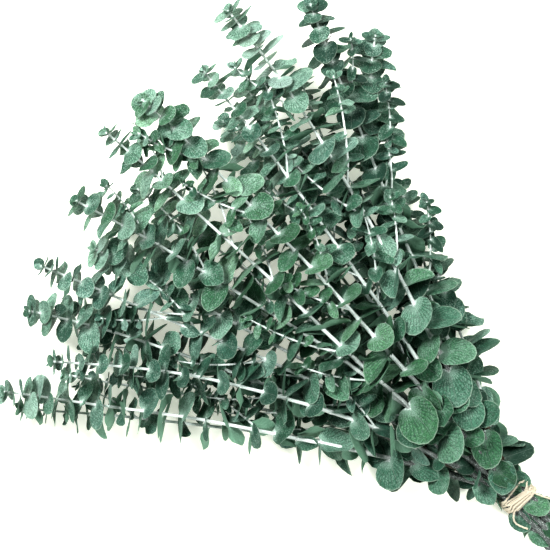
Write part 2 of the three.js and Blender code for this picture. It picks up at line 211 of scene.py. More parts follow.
class Wiring:
    """Adds nodes to one tree and joins them."""

    def __init__(self, tree: NodeTree) -> None:
        """Works on that tree."""
        self.tree = tree

    def add(self, kind: str, inputs: dict[Any, Feed] | None = None, **settings: Any) -> Node:
        """Adds a node.

        Args:
            kind: The node's type name.
            inputs: Input name or number to a value, or to the socket that feeds it.
            settings: The node's own properties.

        Returns:
            The new node.
        """
        node = self.tree.nodes.new(kind)
        for name, value in settings.items():
            setattr(node, name, value)
        for name, value in (inputs or {}).items():
            self.feed(node.inputs[name], value)
        return node

    def feed(self, socket: Socket, value: Feed) -> None:
        """Sets a socket's value, or links it where the value is a socket.

        Args:
            socket: The input.
            value: What feeds it.
        """
        if isinstance(value, Socket):
            self.tree.links.new(value, socket)
        else:
            socket.default_value = value

    def math(self, operation: str, a: Feed, b: Feed = 0.0, c: Feed = 0.0, clamp: bool = False) -> Socket:
        """Returns the result of a Math node on up to three numbers or sockets."""
        node = self.add("ShaderNodeMath", {0: a, 1: b, 2: c}, operation=operation, use_clamp=clamp)
        return node.outputs[0]

    def vector(self, operation: str, a: Feed, b: Feed = (0.0, 0.0, 0.0)) -> Socket:
        """Returns the result of a Vector Math node."""
        return self.add("ShaderNodeVectorMath", {0: a, 1: b}, operation=operation).outputs[0]

    def scaled(self, a: Feed, factor: Feed) -> Socket:
        """Returns a vector times a number."""
        return self.add("ShaderNodeVectorMath", {0: a, "Scale": factor}, operation="SCALE").outputs[0]

    def between(self, value: Feed, low: Feed, high: Feed) -> Socket:
        """Returns 0 where value is at low, 1 where it is at high, and a smooth step between them."""
        limits = {"Value": value, "From Min": low, "From Max": high}
        return self.add("ShaderNodeMapRange", limits, interpolation_type="SMOOTHSTEP").outputs["Result"]

    def mix(self, share: Feed, a: Feed, b: Feed, blend: str = "MIX") -> Socket:
        """Returns colour a turned towards colour b by a share."""
        colours = {0: share, 6: a, 7: b}  # by number, because the node has several inputs of each name
        return self.add("ShaderNodeMix", colours, data_type="RGBA", blend_type=blend).outputs[2]

    def layered(self, colour: Feed, layers: list[tuple[Feed, Feed, Colour]]) -> Feed:
        """Lays colours over another, one after the other.

        Args:
            colour: The one at the bottom.
            layers: The mask of each, how strongly it covers within the mask, and the colour.

        Returns:
            The colour with all of them over it.
        """
        for mask, strength, over in layers:
            colour = self.mix(self.math("MULTIPLY", mask, strength), colour, over)
        return colour

    def noise(self, where: Feed, scale: Feed, detail: float = 2.0, roughness: float = 0.5) -> Socket:
        """Returns a noise value over a vector. Detail adds finer noises, as strong as roughness."""
        inputs = {"Vector": where, "Scale": scale, "Detail": detail, "Roughness": roughness}
        return self.add("ShaderNodeTexNoise", inputs).outputs["Fac"]

    def read(self, name: str) -> Node:
        """Returns the node that reads one of the mesh's attributes in a material."""
        return self.add("ShaderNodeAttribute", attribute_name=name)


# ---- Stems: where they run ----


@dataclass(frozen=True)
class StemShape:
    """One stem's course. Angles in degrees from +Y towards +X, lengths in millimetres."""

    start: float  # which way it leaves the binding
    fan: float  # where its tip lies
    end: float  # which way the tip points
    reach: float  # from the binding to the tip
    lift: float  # the tip's height
    bare: float  # how far up the leaves begin
    dust: float | None = None  # how dusty the leaves are, about 0 to 1, where chance doesn't say
    sprigs: int = 4  # how many side twigs may grow on it
    size: float = 1.0  # how large its leaves are
    opening: float = 1.0  # how far its leaves turn their faces up
    spacing: float = 1.0  # how far apart its pairs sit


STEM_ROWS: tuple[tuple[StemShape, ...], ...] = (
    (
        StemShape(-17, -28, -33, 338, 17, 30, size=0.72, sprigs=3),
        StemShape(-6, -8, -9, 352, 16, 60),
        StemShape(7, 9, 10, 345, 17, 60),
        StemShape(19, 26.5, 29, 240, 17, -28, dust=0.1),
    ),
    (
        StemShape(-24, -33, -38, 365, 19, -34, size=0.85, opening=0.2, sprigs=1),
        StemShape(-15, -20, -18, 346, 30, 60, dust=0.15),
        StemShape(-1, -4, -6, 352, 36, 80),
        StemShape(12, 19.5, 26, 340, 28, 50, dust=0.2),
        StemShape(29, 27.5, 25, 176, 20, 2, dust=0.15),
    ),
    (
        StemShape(-18, -22, -30, 375, 48, -30, dust=0.15, sprigs=2, size=0.92),
        StemShape(-8, -12.5, -15, 352, 56, 80),
        StemShape(5, 13.5, 17, 352, 52, 70),
        StemShape(21, 29.8, 56, 347, 40, 16, dust=0.3, spacing=0.85, opening=2.0),
    ),
    (
        StemShape(-26, -31.4, -36, 377, 40, -34, dust=0.6, sprigs=1),
        StemShape(-9, -17, -20, 379, 60, 30, dust=0.3, size=0.88),
        StemShape(-3, -9, -15, 379, 78, 50),
        StemShape(9, 10.4, 7, 377, 78, 50, dust=0.3, size=0.85),
        StemShape(22, 24, 26, 383, 52, -38, dust=-0.1, size=1.1, spacing=0.8, opening=2.0),
    ),
    (
        StemShape(-14, -26.5, -41, 347, 66, 8, dust=0.25, size=0.88, opening=0.6, sprigs=1),
        StemShape(-4, -1.5, -3, 391, 86, -40),
        StemShape(5, 3.5, 0, 388, 94, -42, dust=0.35, size=0.9, opening=1.5),
        StemShape(17, 16, 8, 403, 76, -40, dust=0.95, spacing=0.8),
    ),
)


@dataclass(frozen=True)
class Binding:
    """Where the stems are held together. Lengths in millimetres."""

    seat_pitch: float = 4.6  # from one stem to the next
    bound_height: float = 11.9  # the middle row's
    bound_length: float = 14
    bend_length: float = 24  # over which the stems turn outwards
    cut_length: float = 52  # from the binding's middle to the cut ends
    cut_stagger: float = 7
    cut_splay: float = 1.45  # how far the cut ends stand apart, against the seats
    cut_lift: float = 1.12  # the same for their heights

    def seat(self, row: int, column: int) -> np.ndarray:
        """Returns where a stem crosses the binding.

        Args:
            row: Its row, counted from the floor up.
            column: Its place in the row, counted from the left.

        Returns:
            The point on the stem's centre line.
        """
        across = column - (len(STEM_ROWS[row]) - 1) / 2
        rise = self.seat_pitch * math.sqrt(3) / 2
        middle = (len(STEM_ROWS) - 1) / 2
        return np.array((across * self.seat_pitch, 0.0, self.bound_height + (row - middle) * rise))

    def seats(self) -> list[np.ndarray]:
        """Returns every stem's seat, row by row."""
        return [self.seat(r, c) for r, row in enumerate(STEM_ROWS) for c in range(len(row))]


BINDING = Binding()


def ribbon(line: np.ndarray, radius: float) -> Shell:
    """Makes a plain three-sided tube along a line, to keep leaves clear of it.

    Args:
        line: The points of the line.
        radius: How far the tube stands off it.

    Returns:
        The tube's points and triangles.
    """
    corners = ((-1, -0.6), (1, -0.6), (0, 1))  # of the tube's section, sideways and up
    points = []
    for at, along in zip(line, np.gradient(line, axis=0)):
        side, up = side_and_up(unit(along))
        points += [at + (side * x + up * z) * radius for x, z in corners]
    triangles = []
    for first in range(0, len(points) - 3, 3):
        for i in range(3):
            a, b = first + i, first + (i + 1) % 3
            triangles += [(a, b, a + 3), (b, b + 3, a + 3)]
    return np.array(points), triangles


class Course:
    """A centre line, measured from its lower end, with the frame at each distance."""

    def __init__(self, points: np.ndarray) -> None:
        """Measures a line.

        Args:
            points: Its points, from its lower end up.
        """
        steps = np.linalg.norm(np.diff(points, axis=0), axis=1)
        self.points = points
        self.distances = np.concatenate(([0.0], np.cumsum(steps)))
        self.length = float(self.distances[-1])

    @staticmethod
    def smooth(corners: tuple[np.ndarray, ...], steps: int) -> np.ndarray:
        """Draws a smooth curve that leans towards its corners.

        Args:
            corners: Its ends, and the control points between them.
            steps: How many steps to draw it in.

        Returns:
            The points of the curve.
        """
        n = len(corners) - 1
        t = np.linspace(0, 1, steps + 1)[:, None]
        return sum(math.comb(n, k) * (1 - t) ** (n - k) * t**k * c for k, c in enumerate(corners))

    def at(self, distance: float) -> np.ndarray:
        """Returns the point at a distance."""
        d = min(max(distance, 0.0), self.length)
        return np.array([np.interp(d, self.distances, self.points[:, k]) for k in range(3)])

    def frame(self, distance: float) -> Frame:
        """Finds how the line runs at a distance.

        Args:
            distance: How far along the line, in millimetres.

        Returns:
            The point and the directions along, sideways and up.
        """
        d = min(max(distance, 0.0), self.length)
        along = unit(self.at(min(d + 1, self.length)) - self.at(max(d - 1, 0)))
        return (self.at(d), along, *side_and_up(along))


class StemPath(Course):
    """A stem's centre line, from its cut end through the binding to its tip."""

    STEPS = 60
    LEAVING_CLIMB = 1.7  # how steeply it leaves the binding, against its climb as a whole
    ARRIVING_CLIMB = 0.3  # the same for its tip
    NOD = 0.03  # by how much the tip dips
    LEAVING_HANDLE = 0.3  # how far it keeps to the way it leaves, as a share of its reach
    ARRIVING_HANDLE = 0.34  # the same for the way it arrives

    def __init__(self, shape: StemShape, seat: np.ndarray, index: int) -> None:
        """Lays out the line from the same points as the solid.

        Args:
            shape: The stem's course.
            seat: Where it crosses the binding.
            index: The stem's number, which draws its length below the binding.
        """
        cut = BINDING.cut_length + jitter(BINDING.cut_stagger, index, Draw.CUT_LENGTH)
        cut_height = BINDING.bound_height + (seat[2] - BINDING.bound_height) * BINDING.cut_lift
        cut_end = np.array((seat[0] * BINDING.cut_splay, -cut, cut_height))
        fan = math.radians(shape.fan)
        tip = np.array((math.sin(fan) * shape.reach, math.cos(fan) * shape.reach, shape.lift))
        climb = (shape.lift - seat[2]) / shape.reach
        straight = heading(0, 0)
        leaving = heading(shape.start, climb * self.LEAVING_CLIMB)
        arriving = heading(shape.end, climb * self.ARRIVING_CLIMB - self.NOD)
        enters = seat - straight * BINDING.bound_length / 2
        leaves = seat + straight * BINDING.bound_length / 2
        bend = leaves + straight * BINDING.bend_length / 2
        bent = bend + leaving * BINDING.bend_length / 2
        first_handle = bent + leaving * shape.reach * self.LEAVING_HANDLE
        last_handle = tip - arriving * shape.reach * self.ARRIVING_HANDLE
        pieces = (
            (cut_end, enters - straight * cut / 2, enters),
            (enters, leaves),
            (leaves, bend, bent),
            (bent, first_handle, last_handle, tip),
        )
        lines = [self.smooth(p, self.STEPS)[(0 if n == 0 else 1) :] for n, p in enumerate(pieces)]
        super().__init__(np.concatenate(lines))


# ---- Leaves: their shapes ----


@dataclass(frozen=True)
class LeafShape:
    """How a dried leaf has set, as shares of its length."""

    breadth: float = 1.0  # its width against a round leaf's
    cup: float = 0.0  # how far the rim stands up all round
    curl: float = 0.0  # how far the tip bends back
    crease: float = 0.0  # how steeply the halves fold up from the midrib
    wave: float = 0.0  # how far the rim ripples
    skew: float = 0.0  # how far it leans to one side
    tip: float = 0.0  # how far its tip is drawn out


class LeafForm(Enum):
    """The ways the leaves have set as they dried."""

    OPEN = LeafShape(cup=-0.03, curl=0.08, crease=0.04)
    CUPPED = LeafShape(breadth=0.97, cup=0.10, curl=0.02, crease=0.05, wave=0.012)
    CURLED = LeafShape(cup=-0.04, curl=0.26, crease=0.03, wave=0.015)
    CREASED = LeafShape(breadth=0.9, cup=0.03, curl=0.10, crease=0.24)
    WAVED = LeafShape(breadth=1.02, curl=0.08, crease=0.06, wave=0.05, skew=0.05)
    LEANING = LeafShape(breadth=0.96, cup=0.05, curl=0.14, crease=0.08, wave=0.02, skew=-0.12)
    OVAL = LeafShape(breadth=0.86, cup=0.04, curl=0.10, crease=0.10, tip=0.02)
    FOLDED = LeafShape(breadth=0.72, curl=0.16, crease=0.55, wave=0.02)
    SHRUNK = LeafShape(breadth=0.86, cup=0.20, curl=0.18, crease=0.1, wave=0.07, skew=0.08)
    YOUNG = LeafShape(breadth=1.04, cup=0.08, curl=0.02, crease=0.08)


class LeafBlade:
    """A thin closed blade of unit size: base at the origin, length along +Y, upper face to +Z."""

    # The right half of the rim from the notch at the base to the tip: across in widths, along in lengths.
    RIM = (
        (0.08, -0.045),
        (0.22, -0.055),
        (0.36, 0.03),
        (0.46, 0.18),
        (0.505, 0.37),
        (0.475, 0.59),
        (0.365, 0.80),
        (0.195, 0.95),
        (0.0, 1.0),
    )
    RINGS = (0.55, 1.0)
    THICKNESS = 0.012

    def __init__(self, form: LeafForm) -> None:
        """Makes the blade in one of the forms."""
        self.form = form
        self.shape: LeafShape = form.value

    def _rim(self) -> np.ndarray:
        """Returns the rim from the right of the notch round the tip to its left."""
        right = [(x, y * (1 + self.shape.tip * (y > 0.99))) for x, y in self.RIM]
        return np.array(right + [(-x, y) for x, y in right[-2::-1]])

    def _height(self, x: float, y: float, turn: float, share: float) -> float:
        """Finds how far a point of the blade stands over the flat leaf.

        Args:
            x: Across the leaf.
            y: Along the leaf.
            turn: How far round the rim the point lies, from 0 to 1.
            share: How far out the point lies, from 0 at the base to 1 at the rim.

        Returns:
            The height, as a share of the leaf's length.
        """
        s = self.shape
        dish = s.cup * 4 * (x * x + (y - 0.5) ** 2 - 0.25)
        ripple = s.wave * math.sin(turn * 4 * math.tau + 0.7 * s.breadth) * share**2
        return dish - s.curl * y * abs(y) + s.crease * abs(x) * (1 - 0.3 * y) + ripple

    def _set(self, x: float, y: float, turn: float, share: float) -> tuple[float, float, float]:
        """Finds where a point of the flat leaf lies once the leaf has set.

        Args:
            x: Across the leaf.
            y: Along the leaf.
            turn: How far round the rim the point lies, from 0 to 1.
            share: How far out the point lies, from 0 at the base to 1 at the rim.

        Returns:
            The point.
        """
        leaning = x * self.shape.breadth + self.shape.skew * max(y, 0) * (1 - 0.4 * y)
        return leaning, y, self._height(x, y, turn, share)

    def mesh(self) -> Mesh:
        """Makes the blade.

        Returns:
            A mesh whose corners know their place across, along and towards the rim, and their side.
        """
        rim = self._rim()
        count = len(rim)
        places, flat = [(0.0, 0.0, 0.0)], [(0.0, 0.0, 0.0)]
        upper: dict[tuple[int, int], int] = {}
        under: dict[tuple[int, int], int] = {}
        for i, (rx, ry) in enumerate(rim):
            for j, share in enumerate(self.RINGS):
                x, y = rx * share, ry * share
                bent, _, z = self._set(x, y, i / (count - 1), share)
                edge = share == 1 or i in (0, count - 1)
                half = 0 if edge else self.THICKNESS / 2
                upper[i, j] = len(places)
                places.append((bent, y, z + half))
                flat.append((x, y, share))
                if edge:
                    under[i, j] = upper[i, j]
                else:
                    under[i, j] = len(places)
                    places.append((bent, y, z - half))
                    flat.append((x, y, share))
        faces: list[tuple[int, ...]] = []
        sides: list[float] = []
        last = len(self.RINGS) - 1
        for i in range(count - 1):
            for face, side in ((upper, 1.0), (under, 0.0)):
                around = (face[i, 0], face[i + 1, 0]) if side else (face[i + 1, 0], face[i, 0])
                faces.append((0, *around))
                sides.append(side)
                for j in range(last):
                    a, b, c, d = face[i, j], face[i, j + 1], face[i + 1, j + 1], face[i + 1, j]
                    # Both sides are split along the same diagonal, so that the thin blade stays closed.
                    faces.append((a, b, c, d) if side else (a, d, c, b))
                    sides.append(side)
        mesh = bpy.data.meshes.new(f"leaf_{self.form.name.lower()}")
        mesh.from_pydata(places, [], faces)
        mesh.shade_smooth()
        corners = [
            (*flat[mesh.loops[loop].vertex_index], side)
            for polygon, side in zip(mesh.polygons, sides)
            for loop in polygon.loop_indices
        ]
        x, y, share, side = np.array(corners, np.float32).T
        rim_points = {upper[i, last] for i in range(count)}
        notches = [{0, *(upper[i, j] for j in range(last + 1))} for i in (0, count - 1)]
        borders = [rim_points, *notches]
        sharp = [any(all(v in border for v in edge.vertices) for border in borders) for edge in mesh.edges]
        blade = mesh.attributes.new("blade", "FLOAT_VECTOR", "CORNER")
        blade.data.foreach_set("vector", np.stack((x, y, side), 1).ravel())
        rimward = mesh.attributes.new("rimward", "FLOAT", "CORNER")
        rimward.data.foreach_set("value", share)
        sharp_edge = mesh.attributes.new("sharp_edge", "BOOLEAN", "EDGE")
        sharp_edge.data.foreach_set("value", sharp)
        return mesh

    def outline(self) -> Shell:
        """Makes a coarse blade, to test whether the leaf is clear of its neighbours.

        Returns:
            A few points and triangles.
        """
        rim = self._rim()
        points = [(0.0, 0.0, 0.0), (0.0, 0.5, self._height(0, 0.5, 0.5, 0.5))]
        for share in reversed(self.RINGS):
            for i, (rx, ry) in enumerate(rim):
                points.append(self._set(rx * share, ry * share, i / (len(rim) - 1), share))
        last = len(rim) + 1
        triangles = [(1, i, i + 2) for i in range(2, last, 2)]
        return np.array(points), triangles + [(0, 2, 1), (0, 1, last)]


# ---- Leaves: how they sit on a stem ----


@dataclass(frozen=True)
class Stance:
    """How a leaf sits at its place on a stem. Angles in degrees, lengths in millimetres."""

    turn: float  # round the stem, from its side
    fold: float  # how far the leaf leans back towards the foot
    roll: float  # about its own length
    stand: float  # how far its base stands out from the stem's middle


@dataclass
class PlacedLeaf:
    """One leaf of a stem: where it sits, how it is turned, its size, its form and its tone."""

    matrix: Matrix
    size: Size
    form: int
    tone: float
    hue: float
    age: float


class Crowd:
    """Every stem and leaf placed so far, to keep a new leaf from passing through them."""

    CELL = 24.0
    NO_OWNER = -1
    NO_BEARER = -2

    def __init__(self) -> None:
        """Starts with nothing placed."""
        self.cells: dict[tuple[int, int, int], list[int]] = {}
        self.trees: list[BVHTree] = []
        self.boxes: list[tuple[np.ndarray, np.ndarray]] = []
        self.owners: list[int] = []

    def _cells_of(self, low: np.ndarray, high: np.ndarray) -> list[tuple[int, int, int]]:
        """Lists the cells that a box reaches into.

        Args:
            low: The box's lowest corner.
            high: Its highest corner.

        Returns:
            The cells' numbers.
        """
        a = np.floor(low / self.CELL).astype(int)
        b = np.floor(high / self.CELL).astype(int)
        return [
            (i, j, k)
            for i in range(a[0], b[0] + 1)
            for j in range(a[1], b[1] + 1)
            for k in range(a[2], b[2] + 1)
        ]

    def place(self, points: np.ndarray, triangles: Triangles, owner: int = NO_OWNER) -> None:
        """Adds a piece.

        Args:
            points: The piece's points.
            triangles: Its triangles.
            owner: The stem whose own leaves may touch it.
        """
        number = len(self.trees)
        low, high = points.min(0), points.max(0)
        self.trees.append(BVHTree.FromPolygons([tuple(p) for p in points], triangles))
        self.boxes.append((low, high))
        self.owners.append(owner)
        for cell in self._cells_of(low, high):
            self.cells.setdefault(cell, []).append(number)

    def crossings(self, points: np.ndarray, triangles: Triangles, bearer: int) -> int:
        """Counts the placed pieces that a new piece passes through.

        Args:
            points: The new piece's points.
            triangles: Its triangles.
            bearer: The owner whose own pieces don't count.

        Returns:
            The number of pieces it crosses.
        """
        low, high = points.min(0), points.max(0)
        near = {n for cell in self._cells_of(low, high) for n in self.cells.get(cell, ())}
        tree = None
        count = 0
        for n in near:
            a, b = self.boxes[n]
            if self.owners[n] == bearer or (a > high).any() or (b < low).any():
                continue
            tree = tree or BVHTree.FromPolygons([tuple(p) for p in points], triangles)
            if tree.overlap(self.trees[n]):
                count += 1
        return count


@dataclass(frozen=True)
class Rod:
    """The finished course of a stem or side twig. Lengths in millimetres."""

    points: np.ndarray
    radii: np.ndarray
    nearness: np.ndarray  # how near a joint is, from 0 to 1
    age: np.ndarray  # from 0 at a stem's foot to 1 at its tip

    @property
    def run(self) -> np.ndarray:
        """Returns how far along the rod each point lies."""
        return Course(self.points).distances


@dataclass
class LeafyStem:
    """One stem with all its pairs of leaves. Lengths in millimetres, angles in degrees."""

    name: str
    index: int
    shape: StemShape
    seat: np.ndarray
    foot_radius: float = 2.3
    tip_radius: float = 0.7
    joint_swell: float = 0.22
    wander: float = 0.35
    straight: float = 82.0  # how far up from its lower end it runs straight
    at_tip: float = 12.0  # how wide the leaves are at the tip
    grown_width: float = 23.5
    growth: float = 28.0  # how far from the tip they take to grow
    old_width: float = 29.5
    length_share: float = 0.96  # a leaf's length against its width
    bud: tuple[float, float] = (5.5, 8.5)  # how wide the two youngest pairs are
    face_up: tuple[float, float, float] = (26.0, 7.0, 30.0)  # at the tip, midway and at the foot
    tip_clasp: float = 16.0
    grown_droop: float = 5.0
    first_pair: float = 3.0  # from the tip to the first pair that has opened
    tip_internode: float = 5.0
    internode: float = 17.0
    internode_growth: float = 0.09
    floor_gap: float = 0.3
    most_crossings: int = 2
    fallen: tuple[float, float] = (0.03, 0.1)  # the share of dropped leaves, at the tip and at the foot
    vigour: float = field(init=False)
    path: Course = field(init=False)
    leaves: list[PlacedLeaf] = field(default_factory=list)
    sprigs: list[Sprig] = field(default_factory=list)

    # The two pairs that still clasp the tip: their numbers, their distance from it and their droop.
    TIP_PAIRS = ((-2, 0.6), (-1, 1.6))
    TIP_DROOP = (-60.0, -40.0)
    # Where face_up's angles hold, from the tip: the middle one holds over a stretch.
    FACE_UP_AT = (0, 130, 210, OLDEST)
    # Leaves in and below the binding: the share of dropped ones, their droop, how far they face up.
    FALLEN_BELOW = 0.22
    BELOW_DROOP = 40.0
    BELOW_FACE_UP = 42.0
    # The steepest lean a leaf may take, first and in search of a free place, and the search's steps.
    STEEPEST = 80
    STEEPEST_FREE = 84
    SEARCH = range(0, 150, 4)
    # Along a rod: from point to point, how far a joint reaches either way, and how fast it fades.
    ROD_STEP = 4.0
    JOINT_REACH = 2.0
    JOINT_FADE = 1.6
    # How a leaf may give way to its neighbours: extra degrees of fold, of turn and of roll, and its size.
    WAYS_TO_LIE = (
        (0, 0, 0, 1), (9, 0, 0, 1), (-9, 0, 0, 1), (0, 12, 0, 1), (0, -12, 0, 1),
        (0, 0, 14, 1), (0, 0, -14, 1), (18, 8, 0, 1), (18, -8, 0, 1), (-18, 8, 0, 1),
        (-18, -8, 0, 1), (28, 0, 12, 0.95), (28, 0, -12, 0.95), (-30, 0, 0, 0.95),
        (40, 14, 0, 0.9), (40, -14, 0, 0.9), (-42, 12, 10, 0.9), (-42, -12, -10, 0.9),
        (55, 0, 0, 0.85), (55, 24, 0, 0.8), (55, -24, 0, 0.8), (-58, 0, 0, 0.75),
    )

    def __post_init__(self) -> None:
        """Lays out the centre line and draws how large this stem's leaves are."""
        self.path = StemPath(self.shape, self.seat, self.index)
        low_row = self.seat[2] < 6
        self.vigour = 0.97 + jitter(0.09, self.index, Draw.VIGOUR) - 0.12 * low_row
        self.vigour *= self.shape.size
        self.at_tip *= 1 + jitter(0.2, self.index, Draw.TIP_WIDTH)
        self.tip_internode *= 1 + jitter(0.2, self.index, Draw.TIP_INTERNODE)
        self.growth *= 1 + jitter(0.5, self.index, Draw.GROWTH)

    @property
    def tone(self) -> float:
        """How pale and dusty the stem's leaves are, from 0 to 1: the upper stems are the palest, as painted
        shade darkens the lower ones.
        """
        if self.shape.dust is not None:
            return self.shape.dust
        # The part that follows the seat's height is painted shade, which darkens the leaves and bark of the
        # lower stems.
        return 0.62 * drawn(self.index, Draw.STEM_TONE) + 0.38 * min(self.seat[2] / 20, 1)

    @property
    def hue(self) -> float:
        """The stem's own green, from 0, blue grey at the left, to 1, fresh green in the middle."""
        fresh = 0.5 * math.exp(-((self.shape.fan / 14) ** 2)) + 0.1 * (self.shape.fan > 14)
        return min(max(0.26 + fresh + jitter(0.14, self.index, Draw.STEM_HUE), 0), 1)

    def age(self, from_tip: float) -> float:
        """Returns how old a leaf is at a distance from the tip, from 0 to 1."""
        return min(from_tip / OLDEST, 1)

    def radius(self, distance: float) -> float:
        """Returns the stem's radius at a distance from its lower end."""
        return lerp(self.foot_radius, self.tip_radius, (distance / self.path.length) ** 0.8)

    def leaf_width(self, from_tip: float) -> float:
        """Finds a leaf's width: leaves are widest low on the stem and small again at the binding.

        Args:
            from_tip: The leaf's distance from the tip.

        Returns:
            The width.
        """
        grown = lerp(self.at_tip, self.grown_width, risen(from_tip, self.growth))
        wide = lerp(grown, self.old_width, share_past(from_tip, 170, 110))
        above_binding = self.shape.reach - from_tip
        return wide * lerp(0.68, 1.0, share_past(above_binding, 12, 70)) * self.vigour

    def pairs(self) -> list[tuple[int, float]]:
        """Lists the pairs of leaves that have opened.

        Returns:
            The number of each pair and its distance from the tip.
        """
        found = []
        distance = self.first_pair
        while distance < self.shape.reach - self.shape.bare:
            found.append((len(found), distance))
            step = min(self.internode, self.tip_internode + self.internode_growth * distance)
            distance += step * self.shape.spacing
        return found

    @staticmethod
    def _pose(frame: Frame, stance: Stance) -> Matrix:
        """Finds a leaf's pose on the stem.

        Args:
            frame: The stem's point and its directions along, sideways and up.
            stance: How the leaf sits there.

        Returns:
            The pose, with the leaf's width, length and face as its columns.
        """
        at, along, side, up = frame
        t, f, r = (math.radians(angle) for angle in (stance.turn, stance.fold, stance.roll))
        out = side * math.cos(t) + up * math.sin(t)
        length = out * math.cos(f) - along * math.sin(f)
        face = along * math.cos(f) + out * math.sin(f)
        face = face * math.cos(r) + np.cross(length, face) * math.sin(r)
        width = np.cross(length, face)
        foot = at + out * stance.stand
        return Matrix([[width[k], length[k], face[k], foot[k]] for k in range(3)] + [[0, 0, 0, 1]])

    @staticmethod
    def _moved(points: np.ndarray, pose: Matrix, size: Size) -> np.ndarray:
        """Returns points of a blade in the bunch's frame."""
        m = np.array(pose)
        return (points * size) @ m[:3, :3].T + m[:3, 3]

    def _rested(self, points: np.ndarray, frame: Frame, stance: Stance, size: Size) -> Stance | None:
        """Folds a leaf until it lies on the floor and not through it.

        Args:
            points: The blade's points.
            frame: Where on the stem it sits.
            stance: How the leaf would sit.
            size: The leaf's size.

        Returns:
            The stance with the nearest fold that is free, or None where there is none.
        """
        for more in self.SEARCH:
            for fold in (stance.fold + more, stance.fold - more):
                tried = replace(stance, fold=fold)
                if abs(fold) > self.STEEPEST_FREE:
                    continue
                if self._moved(points, self._pose(frame, tried), size)[:, 2].min() >= self.floor_gap:
                    return tried
        return None

    def _lie(
        self, blade: Shell, frame: Frame, stance: Stance, width: float, crowd: Crowd
    ) -> tuple[Matrix, Size] | None:
        """Finds a place for a leaf in which it is clear of the rest.

        Args:
            blade: The test outline of the leaf's form.
            frame: Where on the stem it sits.
            stance: How the leaf would sit if it were alone.
            width: How wide it would be.
            crowd: What is placed already.

        Returns:
            The leaf's pose and size, or None where there is no room.
        """
        points, triangles = blade
        best = None
        for more_fold, more_turn, more_roll, share in self.WAYS_TO_LIE:
            size = (width * share, width * share * self.length_share, width * share * self.length_share)
            fold = min(max(stance.fold + more_fold, -self.STEEPEST), self.STEEPEST)
            tried = Stance(stance.turn + more_turn, fold, stance.roll + more_roll, stance.stand)
            tried = self._rested(points, frame, tried, size)
            if tried is None:
                continue
            pose = self._pose(frame, tried)
            count = crowd.crossings(self._moved(points, pose, size), triangles, self.index)
            if best is None or count < best[0]:
                best = (count, pose, size)
            if count == 0:
                break
        if best is None or best[0] > self.most_crossings:
            return None
        return best[1], best[2]

    def _habit(self, pair: int, from_tip: float, below: bool) -> tuple[float, float]:
        """Finds how the leaves of a pair are held before chance turns each of them.

        Args:
            pair: The pair's number, below 0 where it still clasps the tip.
            from_tip: Its distance from the tip.
            below: Whether it sits in or below the binding.

        Returns:
            How far the leaves droop towards the foot, and how far they turn their faces up.
        """
        if below:
            return self.BELOW_DROOP, self.BELOW_FACE_UP
        droop = lerp(-self.tip_clasp, self.grown_droop, risen(from_tip, 50))
        angles = (*self.face_up[:2], *self.face_up[1:])
        face_up = float(np.interp(from_tip, self.FACE_UP_AT, angles))
        lower = share_past(from_tip, 150, 60)
        face_up *= min(self.shape.opening, lerp(self.shape.opening, 1.0, lower))
        face_up += jitter(14, self.index, pair, Draw.FACE_UP)
        return (self.TIP_DROOP[pair] if pair < 0 else droop), face_up

    def grow(self, blades: list[Shell], crowd: Crowd) -> None:
        """Places every leaf, two to a pair and each pair crosswise to the next.

        Args:
            blades: Each form's test outline.
            crowd: What is placed already, which the new leaves join.
        """
        grown_forms = len(LeafForm) - 1
        start = jitter(45, self.index, Draw.START_TURN)
        for pair, from_tip in (*self.TIP_PAIRS, *self.pairs()):
            frame = self.path.frame(self.path.length - from_tip)
            age = self.age(from_tip)
            below = from_tip > self.shape.reach - BINDING.bound_length / 2
            aside = 1.0 if below else share_past(from_tip, 160, 110)
            droop, face_up = self._habit(pair, from_tip, below)
            for half in (0, 1):
                seeds = (self.index, pair, half)
                width = self.leaf_width(from_tip)
                width *= 1 + jitter(lerp(0.13, 0.27, aside), *seeds, Draw.WIDTH)
                dropped = self.FALLEN_BELOW if below else lerp(*self.fallen, aside)
                if drawn(*seeds, Draw.FALLEN) < dropped:
                    continue
                if pair < 0:
                    width = self.bud[pair]
                if below:
                    width *= 0.9
                turn = start + 90 * (pair + 2 * half) + jitter(16, *seeds, Draw.TURN)
                sine, cosine = math.sin(math.radians(turn)), math.cos(math.radians(turn))
                stance = Stance(
                    turn=turn,
                    fold=droop + face_up * sine + jitter(lerp(14, 26, aside), *seeds, Draw.FOLD),
                    roll=face_up * cosine + jitter(lerp(14, 24, aside), *seeds, Draw.ROLL),
                    stand=self.radius(self.path.length - from_tip) * 0.6,
                )
                young = pair < 0 or from_tip < 12
                form = grown_forms if young else int(drawn(*seeds, Draw.FORM) * grown_forms)
                found = self._lie(blades[form], frame, stance, width, crowd)
                if not found:
                    continue
                pose, size = found
                points, triangles = blades[form]
                crowd.place(self._moved(points, pose, size), triangles)
                dusted = lerp(self.tone, min(self.tone, 0.4), age)
                tone = 0.5 * drawn(*seeds, Draw.LEAF_TONE) ** 1.4 + 0.5 * dusted
                # Leaves in and below the binding are darkened as painted shade; above it, older leaves are
                # darker.
                tone *= 0.7 if below else 1 - 0.25 * age
                hue = self.hue + jitter(0.3, *seeds, Draw.LEAF_HUE) + 0.3 * (age - 0.4)
                self.leaves.append(PlacedLeaf(pose, size, form, tone, hue, age))

    def branch(self, crowd: Crowd) -> None:
        """Sets the side twigs, each where it is clear of every stem and twig so far.

        Args:
            crowd: What is placed already, which the twigs join.
        """
        for number in range(self.shape.sprigs):
            share = (number + drawn(self.index, number, Draw.SPRIG_PLACE)) / self.shape.sprigs
            sprig = Sprig.on(self, number, lerp(48, min(250, self.shape.reach - 75), share), crowd)
            if sprig:
                self.sprigs.append(sprig)

